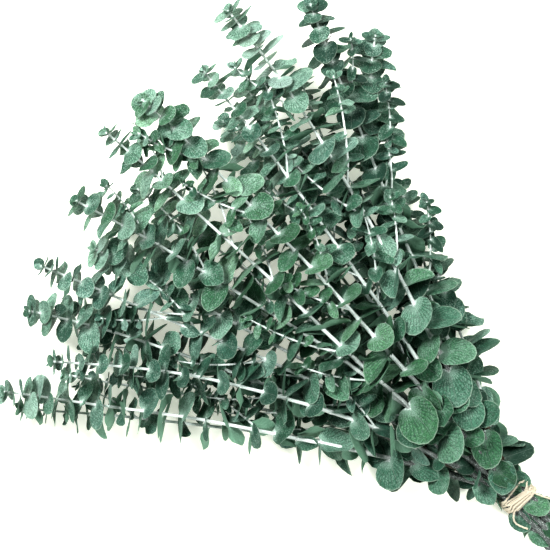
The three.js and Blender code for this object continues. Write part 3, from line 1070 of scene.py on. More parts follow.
    def rod(self) -> Rod:
        """Draws the finished course, with the swellings at its joints.

        Returns:
            The course.
        """
        length = self.path.length
        joints = np.array([length - d for _, d in self.pairs()])
        beside = np.concatenate((joints - self.JOINT_REACH, joints, joints + self.JOINT_REACH))
        beside = beside[(beside > 0) & (beside < length)]
        distances = np.unique(np.concatenate((np.arange(0, length, self.ROD_STEP), beside, [length])))
        points, radii, nearness = [], [], []
        for d in distances:
            at, _, side, up = self.path.frame(d)
            sway = self.wander * share_past(d, self.straight, 40)
            sideways = sway * math.sin(d / 21 + self.index)
            upwards = sway * math.sin(d / 27 + 2 * self.index)
            off = np.abs(joints - d).min() / self.JOINT_FADE if len(joints) else math.inf
            near = math.exp(-(off**2))
            points.append(at + side * sideways + up * upwards)
            radii.append(self.radius(d) * (1 + self.joint_swell * near))
            nearness.append(near)
        ages = np.array([1 - self.age(length - d) for d in distances])
        return Rod(np.array(points), np.array(radii), np.array(nearness), ages)

    def build(self, tree: NodeTree, shapes: Collection, finishes: Finishes) -> Object:
        """Makes the stem's rod and leaves as one mesh.

        Args:
            tree: The geometry nodes that grow a leafy stem from its points.
            shapes: The blades, one object for each form.
            finishes: The materials by name.

        Returns:
            The finished piece.
        """
        rods = [twig.rod() for twig in (self, *self.sprigs)]
        leaves = [leaf for twig in (self, *self.sprigs) for leaf in twig.leaves]
        places = [np.array([leaf.matrix.translation for leaf in leaves])]
        points = np.concatenate([rod.points for rod in rods] + places) * MM
        ends = np.cumsum([len(rod.points) for rod in rods])
        count, total = int(ends[-1]), len(points)
        edges = [(i, i + 1) for i in range(count) if i + 1 not in ends]
        mesh = bpy.data.meshes.new(self.name)
        mesh.from_pydata([tuple(p) for p in points], edges, [])

        def store(name: str, kind: str, values: np.ndarray, key: str = "value") -> None:
            """Writes one value for each point."""
            mesh.attributes.new(name, kind, "POINT").data.foreach_set(key, values.ravel())

        blank = np.zeros(total, np.float32)
        girth, run, joint, age, tone, hue, is_leaf = (blank.copy() for _ in range(7))
        girth[:count] = np.concatenate([rod.radii for rod in rods]) * MM
        run[:count] = np.concatenate([rod.run for rod in rods]) * MM
        joint[:count] = np.concatenate([rod.nearness for rod in rods])
        age[:count] = np.concatenate([rod.age for rod in rods])
        tone[:count] = self.tone
        size = np.ones((total, 3), np.float32)
        facing = np.tile(np.array((1, 0, 0, 0), np.float32), (total, 1))
        form = np.zeros(total, np.int32)
        for i, leaf in enumerate(leaves, count):
            is_leaf[i], age[i], tone[i], hue[i], form[i] = 1, leaf.age, leaf.tone, leaf.hue, leaf.form
            size[i] = np.array(leaf.size) * MM
            facing[i] = leaf.matrix.to_quaternion()
        numbers = {"girth": girth, "run": run, "joint": joint, "age": age, "tone": tone, "hue": hue}
        for name, values in numbers.items():
            store(name, "FLOAT", values)
        store("is_leaf", "BOOLEAN", is_leaf > 0.5)
        store("size", "FLOAT_VECTOR", size, "vector")
        store("facing", "QUATERNION", facing)
        store("form", "INT", form)
        inputs = {"Blades": shapes, "Bark": finishes["bark"], "Leaf": finishes["leaf"]}
        piece = grown_by(tree, mesh, f"leafy_{self.name}", inputs)
        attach(piece, "root")
        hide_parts(self.name)
        faces = len(piece.data.polygons)
        LOG.info("%s: %d leaves, %d side twigs, %d faces", self.name, len(leaves), len(self.sprigs), faces)
        return piece


@dataclass
class Sprig(LeafyStem):
    """A thin side twig with small leaves, which leaves a stem on one side and bends forward with it."""

    bearer: LeafyStem | None = None
    from_tip: float = 0.0  # where it leaves the bearer
    foot_radius: float = 0.85
    tip_radius: float = 0.4
    joint_swell: float = 0.3
    wander: float = 0.5
    straight: float = 0.0
    at_tip: float = 6.0
    grown_width: float = 11.0
    growth: float = 26.0
    length_share: float = 1.45
    fallen: tuple[float, float] = (0.14, 0.14)
    bud: tuple[float, float] = (3.6, 5.4)
    face_up: tuple[float, float, float] = (24.0, 14.0, 14.0)
    first_pair: float = 2.5
    tip_internode: float = 4.6
    internode: float = 9.5
    most_crossings: int = 0

    LENGTHS = (46, 84)
    LONGEST = 0.85  # of what is left of its bearer above it
    LOWEST, HIGHEST = 4, 100  # between which its own line stays
    EASING = 0.35  # how much of its angle to the bearer is left at its tip
    BARE = 9  # how far from the bearer its leaves begin
    # How a twig may set off: degrees away from the bearer and degrees up from level.
    WAYS_TO_LEAVE = ((34, 0), (30, 16), (38, -14), (26, 28), (44, 8), (24, -24), (36, 40), (46, -30))

    @classmethod
    def on(cls, bearer: LeafyStem, number: int, from_tip: float, crowd: Crowd) -> Sprig | None:
        """Grows a bare twig on a stem.

        Args:
            bearer: The stem that it grows on.
            number: Its number on that stem.
            from_tip: How far from the stem's tip it leaves.
            crowd: What is placed already, which the twig joins.

        Returns:
            The twig, or None where there is no room for it.
        """
        index = 100 + 10 * bearer.index + number
        at, along, side, up = bearer.path.frame(bearer.path.length - from_tip)
        inward = 1 if bearer.shape.fan < 0 else -1
        at_edge = abs(bearer.shape.fan) > 24
        hand = inward if at_edge or drawn(index, Draw.SPRIG_HAND) < 0.5 else -inward
        length = min(lerp(*cls.LENGTHS, drawn(index, Draw.SPRIG_LENGTH)), cls.LONGEST * from_tip)
        for apart, lifted in cls.WAYS_TO_LEAVE:
            a, lift = math.radians(apart), math.radians(lifted)
            out = side * hand * math.cos(lift) + up * math.sin(lift)
            leaving = along * math.cos(a) + out * math.sin(a)
            bent = along * math.cos(a * cls.EASING) + out * math.sin(a * cls.EASING)
            corners = (at, at + leaving * length * 0.5, at + (leaving + bent) * length * 0.5)
            line = Course.smooth(corners, 14)
            if line[:, 2].min() < cls.LOWEST or line[:, 2].max() > cls.HIGHEST:
                continue
            rod = ribbon(line[2:], cls.foot_radius)
            if crowd.crossings(*rod, Crowd.NO_BEARER) == 0:
                crowd.place(*rod, index)
                sprig = cls(f"{bearer.name}_sprig_{number}", index, bearer.shape, bearer.seat)
                sprig.bearer, sprig.from_tip, sprig.path = bearer, from_tip, Course(line)
                return sprig
        return None

    def __post_init__(self) -> None:
        """Draws how large this twig's leaves are."""
        self.vigour = 1 + jitter(0.15, self.index, Draw.VIGOUR)
        self.tip_internode *= 1 + jitter(0.2, self.index, Draw.TIP_INTERNODE)

    @property
    def tone(self) -> float:
        """How pale and dusty the leaves are: less than the bearer's, which shade them."""
        return self.bearer.tone * 0.8

    @property
    def hue(self) -> float:
        """The bearer's own green."""
        return self.bearer.hue

    def age(self, from_tip: float) -> float:
        """Returns how old a leaf is, which follows from where the twig leaves its bearer."""
        return min((self.from_tip * 0.7 + from_tip) / OLDEST, 1)

    def leaf_width(self, from_tip: float) -> float:
        """Returns a leaf's width at a distance from the twig's tip."""
        return lerp(self.at_tip, self.grown_width, risen(from_tip, self.growth)) * self.vigour

    def pairs(self) -> list[tuple[int, float]]:
        """Lists the pairs of leaves that have opened, which keep clear of the bearer.

        Returns:
            The number of each pair and its distance from the tip.
        """
        found = []
        distance = self.first_pair
        while distance < self.path.length - self.BARE:
            found.append((len(found), distance))
            distance += min(self.internode, self.tip_internode + self.internode_growth * distance)
        return found


# ---- Geometry nodes ----


def grown_by(tree: NodeTree, mesh: Mesh, name: str, inputs: dict[str, Any]) -> Object:
    """Runs a tree of geometry nodes on a mesh and keeps the result as a plain mesh.

    Args:
        tree: The geometry nodes.
        mesh: What they start from.
        name: The finished piece's name.
        inputs: Input name to value.

    Returns:
        The finished piece, with no modifier, in the scene.
    """
    seed = into_scene(f"{name}_seed", mesh)
    modifier = seed.modifiers.new("growth", "NODES")
    modifier.node_group = tree
    sockets = {s.name: s.identifier for s in tree.interface.items_tree if s.in_out == "INPUT"}
    for key, value in inputs.items():
        modifier[sockets[key]] = value
    seed.data.update()
    depsgraph = bpy.context.evaluated_depsgraph_get()
    depsgraph.update()
    finished = bpy.data.meshes.new_from_object(seed.evaluated_get(depsgraph), depsgraph=depsgraph)
    finished.name = name
    seed.modifiers.remove(modifier)
    bpy.data.objects.remove(seed)
    bpy.data.meshes.remove(mesh)
    return into_scene(name, finished)


class GrowthTree(Wiring):
    """A tree of geometry nodes with named inputs, which ends in Realize Instances and Set Material."""

    def __init__(self, name: str, inputs: Inputs) -> None:
        """Makes the tree and its inputs.

        Args:
            name: The tree's name.
            inputs: Label to socket type and default value, which is None where it has none.
        """
        super().__init__(bpy.data.node_groups.new(name, "GeometryNodeTree"))
        add_inputs(self.tree, {"Geometry": ("NodeSocketGeometry", None), **inputs})
        self.tree.interface.new_socket("Geometry", in_out="OUTPUT", socket_type="NodeSocketGeometry")
        self.source = self.tree.nodes.new("NodeGroupInput").outputs

    def named(self, name: str, kind: str = "FLOAT") -> Socket:
        """Returns an attribute of the points."""
        node = self.add("GeometryNodeInputNamedAttribute", {"Name": name}, data_type=kind)
        return node.outputs["Attribute"]

    def store(self, geometry: Socket, name: str, value: Feed, kind: str = "FLOAT") -> Socket:
        """Keeps a value on each point.

        Args:
            geometry: What has the points.
            name: The attribute's name.
            value: The value.
            kind: Its type.

        Returns:
            The geometry with the attribute.
        """
        node = self.add(
            "GeometryNodeStoreNamedAttribute",
            {"Geometry": geometry, "Name": name, "Value": value},
            data_type=kind,
            domain="POINT",
        )
        return node.outputs[0]

    def tube(self, curve: Socket, sides: Feed, scale: Feed, radius: float = 1.0) -> Socket:
        """Makes a closed round tube along a curve, which knows its ring direction.

        Args:
            curve: The curve.
            sides: How many sides the tube has.
            scale: The tube's radius at each point.
            radius: The radius at a scale of 1.

        Returns:
            The tube's mesh, shaded smooth.
        """
        circle = self.add("GeometryNodeCurvePrimitiveCircle", {"Resolution": sides, "Radius": radius})
        position = self.add("GeometryNodeInputPosition").outputs[0]
        profile = self.store(circle.outputs["Curve"], "ring", position, "FLOAT_VECTOR")
        tube = self.add(
            "GeometryNodeCurveToMesh",
            {"Curve": curve, "Profile Curve": profile, "Scale": scale, "Fill Caps": True},
        )
        return self.add("GeometryNodeSetShadeSmooth", {"Geometry": tube.outputs[0]}).outputs[0]

    def coat(self, geometry: Socket, material: Socket) -> Socket:
        """Returns the geometry in a material."""
        return self.add("GeometryNodeSetMaterial", {"Geometry": geometry, "Material": material}).outputs[0]

    def finish(self, branches: list[tuple[Socket, Socket]]) -> NodeTree:
        """Realizes and dresses each branch, and joins them to the tree's output.

        Args:
            branches: The geometry and the material of each.

        Returns:
            The finished tree.
        """
        join = self.add("GeometryNodeJoinGeometry")
        for geometry, material in branches:
            real = self.add("GeometryNodeRealizeInstances", {"Geometry": geometry}).outputs[0]
            self.feed(join.inputs[0], self.coat(real, material))
        out = self.tree.nodes.new("NodeGroupOutput")
        self.feed(out.inputs[0], join.outputs[0])
        return self.tree


def leafy_stem_tree() -> NodeTree:
    """Builds the nodes that turn a line and its leaf points into a stem with its leaves.

    Returns:
        The tree.
    """
    g = GrowthTree(
        "leafy stem",
        {
            "Blades": ("NodeSocketCollection", None),
            "Sides": ("NodeSocketInt", 9),
            "Bark": ("NodeSocketMaterial", None),
            "Leaf": ("NodeSocketMaterial", None),
        },
    )
    curve = g.add("GeometryNodeMeshToCurve", {"Mesh": g.source["Geometry"]}).outputs[0]
    rod = g.tube(curve, g.source["Sides"], g.named("girth"))
    chosen = {"Mesh": g.source["Geometry"], "Selection": g.named("is_leaf", "BOOLEAN")}
    points = g.add("GeometryNodeMeshToPoints", chosen).outputs[0]
    blades = g.add(
        "GeometryNodeCollectionInfo",
        {"Collection": g.source["Blades"], "Separate Children": True, "Reset Children": True},
    ).outputs[0]
    leaves = g.add(
        "GeometryNodeInstanceOnPoints",
        {
            "Points": points,
            "Instance": blades,
            "Pick Instance": True,
            "Instance Index": g.named("form", "INT"),
            "Rotation": g.named("facing", "QUATERNION"),
            "Scale": g.named("size", "FLOAT_VECTOR"),
        },
    ).outputs[0]
    return g.finish([(rod, g.source["Bark"]), (leaves, g.source["Leaf"])])


def twisted_twine_tree() -> NodeTree:
    """Builds the nodes that lay twisted plies and very thin loose fibres along a line.

    Returns:
        The tree.
    """
    g = GrowthTree(
        "twisted twine",
        {
            "Plies": ("NodeSocketInt", 3),
            "Ply offset": ("NodeSocketFloat", 0.42 * MM),
            "Ply radius": ("NodeSocketFloat", 0.27 * MM),
            "Lay": ("NodeSocketFloat", 9.0 * MM),
            "Step": ("NodeSocketFloat", 0.6 * MM),
            "Sides": ("NodeSocketInt", 7),
            "Fibre spacing": ("NodeSocketFloat", 0.55 * MM),
            "Fibre radius": ("NodeSocketFloat", 0.07 * MM),
            "Seed": ("NodeSocketInt", 4),
            "Floor": ("NodeSocketFloat", 0.0),
            "Fibre": ("NodeSocketMaterial", None),
        },
    )
    line = g.add("GeometryNodeMeshToCurve", {"Mesh": g.source["Geometry"]}).outputs[0]
    resample = g.add("GeometryNodeResampleCurve", {"Curve": line, "Length": g.source["Step"]}, mode="LENGTH")
    reach = g.add("GeometryNodeSplineParameter").outputs["Length"]
    curve = g.store(resample.outputs[0], "run", reach)
    copies = g.add(
        "GeometryNodeDuplicateElements", {"Geometry": curve, "Amount": g.source["Plies"]}, domain="SPLINE"
    )
    share = g.math("DIVIDE", copies.outputs["Duplicate Index"], g.source["Plies"])
    turns = g.math("ADD", g.math("DIVIDE", g.named("run"), g.source["Lay"]), share)
    angle = g.math("MULTIPLY", turns, math.tau)
    normal = g.add("GeometryNodeInputNormal").outputs["Normal"]
    tangent = g.add("GeometryNodeInputTangent").outputs[0]
    turning = {"Vector": normal, "Axis": tangent, "Angle": angle}
    turned = g.add("ShaderNodeVectorRotate", turning, rotation_type="AXIS_ANGLE").outputs[0]
    moved = g.add(
        "GeometryNodeSetPosition",
        {"Geometry": copies.outputs[0], "Offset": g.scaled(turned, g.source["Ply offset"])},
    ).outputs[0]
    tagged = g.store(moved, "tone", g.math("FRACT", g.math("MULTIPLY_ADD", share, 1.7, 0.2)))
    position = g.add("GeometryNodeInputPosition").outputs[0]
    uneven = g.math("MULTIPLY_ADD", g.noise(position, 260.0), 0.36, 0.82)
    plies = g.tube(tagged, g.source["Sides"], g.math("MULTIPLY", g.source["Ply radius"], uneven))

    spacing = {"Curve": line, "Length": g.source["Fibre spacing"]}
    spread = g.add("GeometryNodeResampleCurve", spacing, mode="LENGTH")
    arc = g.add(
        "GeometryNodeCurvePrimitiveBezierSegment",
        {
            "Resolution": 6,
            "Start": (0.0, 0.0, 0.0),
            "Start Handle": (0.35, 0.0, 0.12),
            "End Handle": (0.55, 0.3, 0.3),
            "End": (1.0, 0.28, 0.1),
        },
    ).outputs[0]
    hair = g.tube(arc, 3, g.source["Fibre radius"])

    def random(kind: str, low: Feed, high: Feed, salt: int) -> Socket:
        """Draws a value for each fibre.

        Args:
            kind: The value's type.
            low: Its lower limit.
            high: Its upper limit.
            salt: What tells this draw from the others.

        Returns:
            The value.
        """
        node = g.add("FunctionNodeRandomValue", data_type=kind)
        inputs = [s for s in node.inputs if s.enabled and s.name in ("Min", "Max")]
        inputs[0].default_value, inputs[1].default_value = low, high
        g.feed(node.inputs["Seed"], g.math("ADD", g.source["Seed"], float(salt)))
        return next(s for s in node.outputs if s.enabled)

    tilt = random("FLOAT_VECTOR", (-0.7, -0.7, -3.2), (0.7, 0.7, 3.2), 0)
    along = g.add("FunctionNodeAlignRotationToVector", {"Vector": tangent}, axis="X").outputs[0]
    turning = {"Rotation": along, "Rotate By": tilt}
    spin = g.add("FunctionNodeRotateRotation", turning, rotation_space="LOCAL")
    lengths = random("FLOAT", 2.2 * MM, 6.5 * MM, 1)
    scale = g.add("ShaderNodeCombineXYZ", {0: lengths, 1: lengths, 2: lengths}).outputs[0]
    # The arc is a unit long, so the scale brings it to a fibre's length and thins it by as much.
    fibres = g.add(
        "GeometryNodeInstanceOnPoints",
        {"Points": spread.outputs[0], "Instance": hair, "Rotation": spin.outputs[0], "Scale": scale},
    ).outputs[0]

    def pressed(geometry: Socket) -> Socket:
        """Flattens geometry where the floor would cut it.

        Args:
            geometry: The plies or the fibres.

        Returns:
            The geometry, with no point under the floor.
        """
        real = g.add("GeometryNodeRealizeInstances", {"Geometry": geometry}).outputs[0]
        here = g.add("ShaderNodeSeparateXYZ", {0: g.add("GeometryNodeInputPosition").outputs[0]}).outputs
        height = g.math("MAXIMUM", here[2], g.source["Floor"])
        above = g.add("ShaderNodeCombineXYZ", {0: here[0], 1: here[1], 2: height}).outputs[0]
        return g.add("GeometryNodeSetPosition", {"Geometry": real, "Position": above}).outputs[0]

    return g.finish([(pressed(plies), g.source["Fibre"]), (pressed(fibres), g.source["Fibre"])])


# ---- Finishes ----


class Effects:
    """Shader node groups that more than one finish uses."""

    def __init__(self) -> None:
        """Builds the groups once."""
        self.bloom = self._bloom()
        self.streaks = self._streaks()

    @staticmethod
    def _group(
        name: str, inputs: Inputs, outputs: tuple[str, ...]
    ) -> tuple[Wiring, bpy.types.bpy_prop_collection, Node]:
        """Starts a shader node group.

        Args:
            name: The group's name.
            inputs: Label to socket type and default value, which is None where it has none.
            outputs: The labels of its outputs.

        Returns:
            The group's wiring, its input sockets and its output node.
        """
        tree = bpy.data.node_groups.new(name, "ShaderNodeTree")
        add_inputs(tree, inputs)
        for label in outputs:
            tree.interface.new_socket(label, in_out="OUTPUT", socket_type="NodeSocketFloat")
        wiring = Wiring(tree)
        return wiring, wiring.add("NodeGroupInput").outputs, wiring.add("NodeGroupOutput")

    def _bloom(self) -> NodeTree:
        """Builds the waxy bloom that lies on leaves and stems in specks and rubbed patches.

        Returns:
            The node group.
        """
        w, source, out = self._group(
            "waxy bloom",
            {
                "Vector": ("NodeSocketVector", None),
                "Speck size": ("NodeSocketFloat", 1100.0),
                "Patch size": ("NodeSocketFloat", 130.0),
                "Cover": ("NodeSocketFloat", 0.5),
                "Edge": ("NodeSocketFloat", 0.1),
            },
            ("Bloom", "Grit"),
        )
        grit = w.noise(source["Vector"], source["Speck size"], 3.0, 0.65)
        patch = w.noise(source["Vector"], source["Patch size"], 3.0, 0.55)
        level = w.math("SUBTRACT", 1.0, source["Cover"])
        low = w.math("SUBTRACT", level, source["Edge"])
        high = w.math("ADD", level, source["Edge"])
        mixed = w.math("MULTIPLY_ADD", grit, 0.72, w.math("MULTIPLY", patch, 0.28))
        w.feed(out.inputs["Bloom"], w.between(mixed, low, high))
        w.feed(out.inputs["Grit"], grit)
        return w.tree

    def _streaks(self) -> NodeTree:
        """Builds the lengthwise grain of bark and of twisted fibre.

        Returns:
            The node group.
        """
        w, source, out = self._group(
            "lengthwise streaks",
            {
                "Around": ("NodeSocketVector", None),
                "Along": ("NodeSocketFloat", 0.0),
                "Fineness": ("NodeSocketFloat", 3.0),
                "Stretch": ("NodeSocketFloat", 60.0),
            },
            ("Streak", "Fine"),
        )
        ring = w.scaled(source["Around"], source["Fineness"])
        run = w.add("ShaderNodeCombineXYZ", {2: w.math("MULTIPLY", source["Along"], source["Stretch"])})
        where = w.vector("ADD", ring, run.outputs[0])
        w.feed(out.inputs["Streak"], w.noise(where, 1.0, 3.0, 0.6))
        w.feed(out.inputs["Fine"], w.noise(where, 4.3, 3.0, 0.7))
        return w.tree


@dataclass(frozen=True)
class Finish:
    """What every finish of the bunch has."""

    name: str
    roughness: tuple[float, float]
    bump: float  # how high the relief stands
    specular: float

    def _start(self) -> tuple[Material, Wiring, Node]:
        """Returns a new material, its wiring and its Principled BSDF."""
        material, shader = new_material(self.name)
        shader.inputs["Specular IOR Level"].default_value = self.specular
        return material, Wiring(material.node_tree), shader

    @staticmethod
    def _grain(w: Wiring, effects: Effects, fineness: float, stretch: float) -> tuple[Socket, Socket]:
        """Adds the lengthwise streaks of a rod or a ply.

        Args:
            w: The material's wiring.
            effects: The shared groups.
            fineness: How fine the streaks are round the rod.
            stretch: How quickly they change along it.

        Returns:
            The broad and the fine streaks.
        """
        inputs = {"Around": w.read("ring").outputs["Vector"], "Along": w.read("run").outputs["Fac"]}
        inputs |= {"Fineness": fineness, "Stretch": stretch}
        node = w.add("ShaderNodeGroup", inputs, node_tree=effects.streaks)
        return node.outputs["Streak"], node.outputs["Fine"]

    def _rough(self, w: Wiring, shader: Node, mask: Socket) -> None:
        """Lets the roughness follow a mask between its two values."""
        low, high = self.roughness
        w.feed(shader.inputs["Roughness"], w.math("MULTIPLY_ADD", mask, high - low, low))

    def _relief(self, w: Wiring, shader: Node, height: Socket, strength: float) -> None:
        """Raises the surface by a height from 0 to 1 times the finish's bump."""
        node = w.add("ShaderNodeBump", {"Height": height, "Strength": strength, "Distance": self.bump})
        w.feed(shader.inputs["Normal"], node.outputs[0])


@dataclass(frozen=True)
class LeafFinish(Finish):
    """Dried leaf: dusty blue green above, duller below, with pale veins and a waxy bloom."""

    name: str = "dried leaf"
    roughness: tuple[float, float] = (0.55, 0.8)
    bump: float = 0.35 * MM
    specular: float = 0.12
    deep: Colour = paint(20, 44, 33)
    green: Colour = paint(38, 80, 59)
    dusty: Colour = paint(64, 108, 86)
    pale: Colour = paint(94, 133, 112)
    silver: Colour = paint(132, 156, 145)
    under: Colour = paint(104, 146, 120)
    bloom: Colour = paint(170, 204, 186)
    frost: Colour = paint(212, 226, 220)
    vein: Colour = paint(160, 188, 172)
    stain: Colour = paint(52, 60, 40)
    rim: Colour = paint(166, 188, 168)
    blue_tint: Colour = (0.98, 0.92, 1.06, 1.0)
    fresh_tint: Colour = (1.04, 1.14, 0.8, 1.0)

    def _veins(self, w: Wiring, across: Socket, along: Socket, place: Socket) -> tuple[Socket, Socket]:
        """Adds the midrib and the side veins, which fan out from the leaf's base.

        Args:
            w: The material's wiring.
            across: Where a point lies across the leaf.
            along: Where it lies along the leaf.
            place: Where it lies in the bunch.

        Returns:
            The masks of the midrib and of the side veins.
        """
        aside = w.math("ABSOLUTE", across)
        midrib = w.between(aside, w.math("MULTIPLY_ADD", along, -0.014, 0.024), 0.002)
        spread = w.math("ARCTAN2", aside, w.math("ADD", along, 0.12))
        sway = w.math("MULTIPLY_ADD", w.noise(place, 160.0), 0.6, w.math("MULTIPLY", spread, 7.5))
        off = w.math("ABSOLUTE", w.math("SUBTRACT", w.math("FRACT", sway), 0.5))
        reach = w.between(along, 1.05, 0.35)
        return midrib, w.math("MULTIPLY", w.between(off, 0.2, 0.04), reach)

    def _greens(self, w: Wiring, place: Socket, tone: Socket, hue: Socket, age: Socket) -> Socket:
        """Adds the leaf's colour, which wanders from leaf to leaf and over each leaf, with the painted shade
        that its tone carries.

        Args:
            w: The material's wiring.
            place: Where a point lies in the bunch.
            tone: How pale and dusty the leaf is, and its painted shade.
            hue: Its green, from blue grey to fresh.
            age: How old it is.

        Returns:
            The colour.
        """
        drift = w.noise(place, 26.0, 2.0)
        aged = w.math("MULTIPLY_ADD", age, -0.1, w.math("MULTIPLY_ADD", tone, 0.95, -0.12))
        shade = w.math("MULTIPLY_ADD", drift, 0.55, aged)
        ramp = w.add("ShaderNodeValToRGB", {"Fac": shade})
        stops = ramp.color_ramp.elements
        stops[0].position, stops[0].color = 0.08, self.deep
        stops[1].position, stops[1].color = 0.96, self.silver
        for position, colour in ((0.32, self.green), (0.55, self.dusty), (0.76, self.pale)):
            stops.new(position).color = colour
        colour = w.mix(w.between(hue, 0.5, 0.05), ramp.outputs["Color"], self.blue_tint, "MULTIPLY")
        return w.mix(w.between(hue, 0.5, 1.0), colour, self.fresh_tint, "MULTIPLY")

    def make(self, effects: Effects) -> Material:
        """Makes the material.

        Args:
            effects: The shared groups.

        Returns:
            The material.
        """
        material, w, shader = self._start()
        place = w.add("ShaderNodeTexCoord").outputs["Object"]
        blade = w.add("ShaderNodeSeparateXYZ", {0: w.read("blade").outputs["Vector"]}).outputs
        # The tone carries dust and the painted shade of low stems and of leaves at the binding.
        tone, hue, age = (w.read(name).outputs["Fac"] for name in ("tone", "hue", "age"))
        midrib, side_veins = self._veins(w, blade[0], blade[1], place)
        from_base = w.math("ADD", blade[1], w.math("ABSOLUTE", blade[0]))
        base = w.between(from_base, 0.5, 0.05)
        cover = w.math("MULTIPLY_ADD", tone, 0.22, w.math("MULTIPLY_ADD", base, 0.14, 0.36))
        bloom = w.add("ShaderNodeGroup", {"Vector": place, "Cover": cover}, node_tree=effects.bloom)
        wax, grit = bloom.outputs["Bloom"], bloom.outputs["Grit"]
        dusted = w.math("MULTIPLY_ADD", age, -0.36, 0.58)
        near = w.between(from_base, w.math("MULTIPLY_ADD", age, -0.09, 0.2), 0.05)
        joint = w.math("MULTIPLY", near, w.between(grit, 0.38, 0.54))
        mottle = w.between(w.noise(place, 620.0, 3.0, 0.7), 0.42, 0.62)
        pits = w.between(w.noise(place, 1350.0, 2.0, 0.6), 0.58, 0.68)
        blotch = w.between(w.noise(place, 210.0, 4.0, 0.6), 0.56, 0.78)
        colour = w.layered(
            self._greens(w, place, tone, hue, age),
            [
                (mottle, 0.6, self.deep),
                (pits, 0.7, self.deep),
                (blotch, 0.35, self.stain),
                (wax, dusted, self.bloom),
                (side_veins, 0.62, self.deep),
                (midrib, 0.12, self.vein),
                (base, 0.14, self.bloom),
                (joint, 0.9, self.frost),
                (w.math("SUBTRACT", 1.0, blade[2]), 0.66, self.under),
                (w.between(w.read("rimward").outputs["Fac"], 0.955, 0.995), 0.34, self.rim),
            ],
        )
        w.feed(shader.inputs["Base Color"], colour)
        self._rough(w, shader, grit)
        wrinkle = w.math("MULTIPLY", w.noise(place, 460.0, 4.0, 0.65), 2.3)
        cockle = w.noise(place, 110.0, 2.0, 0.5)
        veined = w.math("MULTIPLY_ADD", side_veins, -0.5, w.math("MULTIPLY_ADD", midrib, 0.8, wrinkle))
        height = w.math("MULTIPLY_ADD", cockle, 2.4, veined)
        self._relief(w, shader, w.math("MULTIPLY_ADD", grit, 0.35, height), 0.9)
        return material


@dataclass(frozen=True)
class BarkFinish(Finish):
    """Stem: pale waxy green grey, in places brown wood low down, and near-black painted shade towards the
    foot, broken by paler ridges.
    """

    name: str = "stem bark"
    roughness: tuple[float, float] = (0.5, 0.75)
    bump: float = 0.25 * MM
    specular: float = 0.08
    wax: Colour = paint(226, 236, 231)
    green: Colour = paint(92, 120, 106)
    wood: Colour = paint(176, 132, 94)
    dark: Colour = paint(104, 74, 50)
    # The near-black colour of the painted shade on the lower stems.
    foot: Colour = paint(22, 30, 25)

    def make(self, effects: Effects) -> Material:
        """Makes the material.

        Args:
            effects: The shared groups.

        Returns:
            The material.
        """
        material, w, shader = self._start()
        place = w.add("ShaderNodeTexCoord").outputs["Object"]
        streak, fine = self._grain(w, effects, 1.6, 110.0)
        bloom = w.add("ShaderNodeGroup", {"Vector": place, "Cover": 0.66}, node_tree=effects.bloom)
        # The stem's tone carries dust and painted shade, so lower stems show less wax and more brown wood.
        tone = w.read("tone").outputs["Fac"]
        ridged = w.math("MULTIPLY", bloom.outputs["Bloom"], w.between(fine, 0.28, 0.46))
        waxed = w.math("MULTIPLY", ridged, w.math("MULTIPLY_ADD", tone, 0.5, 0.6), clamp=True)
        joint = w.math("MULTIPLY", w.read("joint").outputs["Fac"], w.between(fine, 0.2, 0.4))
        colour = w.mix(w.math("MAXIMUM", waxed, joint), self.green, self.wax)
        woody = w.mix(fine, self.dark, self.wood)
        age = w.math("MULTIPLY_ADD", streak, 0.16, w.read("age").outputs["Fac"])
        dull = w.between(tone, 0.22, 0.12)
        colour = w.mix(w.math("MULTIPLY", w.between(age, 0.3, 0.18), dull), colour, woody)
        # Painted shade: the lower part of each stem turns near black, except along paler ridges.
        painted_foot_shade = w.math("MULTIPLY", w.between(age, 0.34, 0.16), w.between(fine, 0.64, 0.59))
        colour = w.mix(w.math("MULTIPLY", painted_foot_shade, 0.92), colour, self.foot)
        w.feed(shader.inputs["Base Color"], colour)
        self._rough(w, shader, streak)
        self._relief(w, shader, fine, 0.6)
        return material


@dataclass(frozen=True)
class TwineFinish(Finish):
    """Natural fibre: pale straw strands with darker gaps between them."""

    name: str = "natural twine"
    roughness: tuple[float, float] = (0.8, 0.95)
    bump: float = 0.3 * MM
    specular: float = 0.2
    straw: Colour = paint(226, 218, 198)
    tan: Colour = paint(186, 174, 148)
    shadow: Colour = paint(116, 104, 82)

    def make(self, effects: Effects) -> Material:
        """Makes the material.

        Args:
            effects: The shared groups.

        Returns:
            The material.
        """
        material, w, shader = self._start()
        streak, fine = self._grain(w, effects, 2.4, 160.0)
        colour = w.mix(streak, self.tan, self.straw)
        gaps = w.between(fine, 0.42, 0.26)
        colour = w.mix(w.math("MULTIPLY", gaps, 0.6), colour, self.shadow)
        w.feed(shader.inputs["Base Color"], colour)
        self._rough(w, shader, fine)
        self._relief(w, shader, fine, 0.9)
        return material


# ---- Twine ----


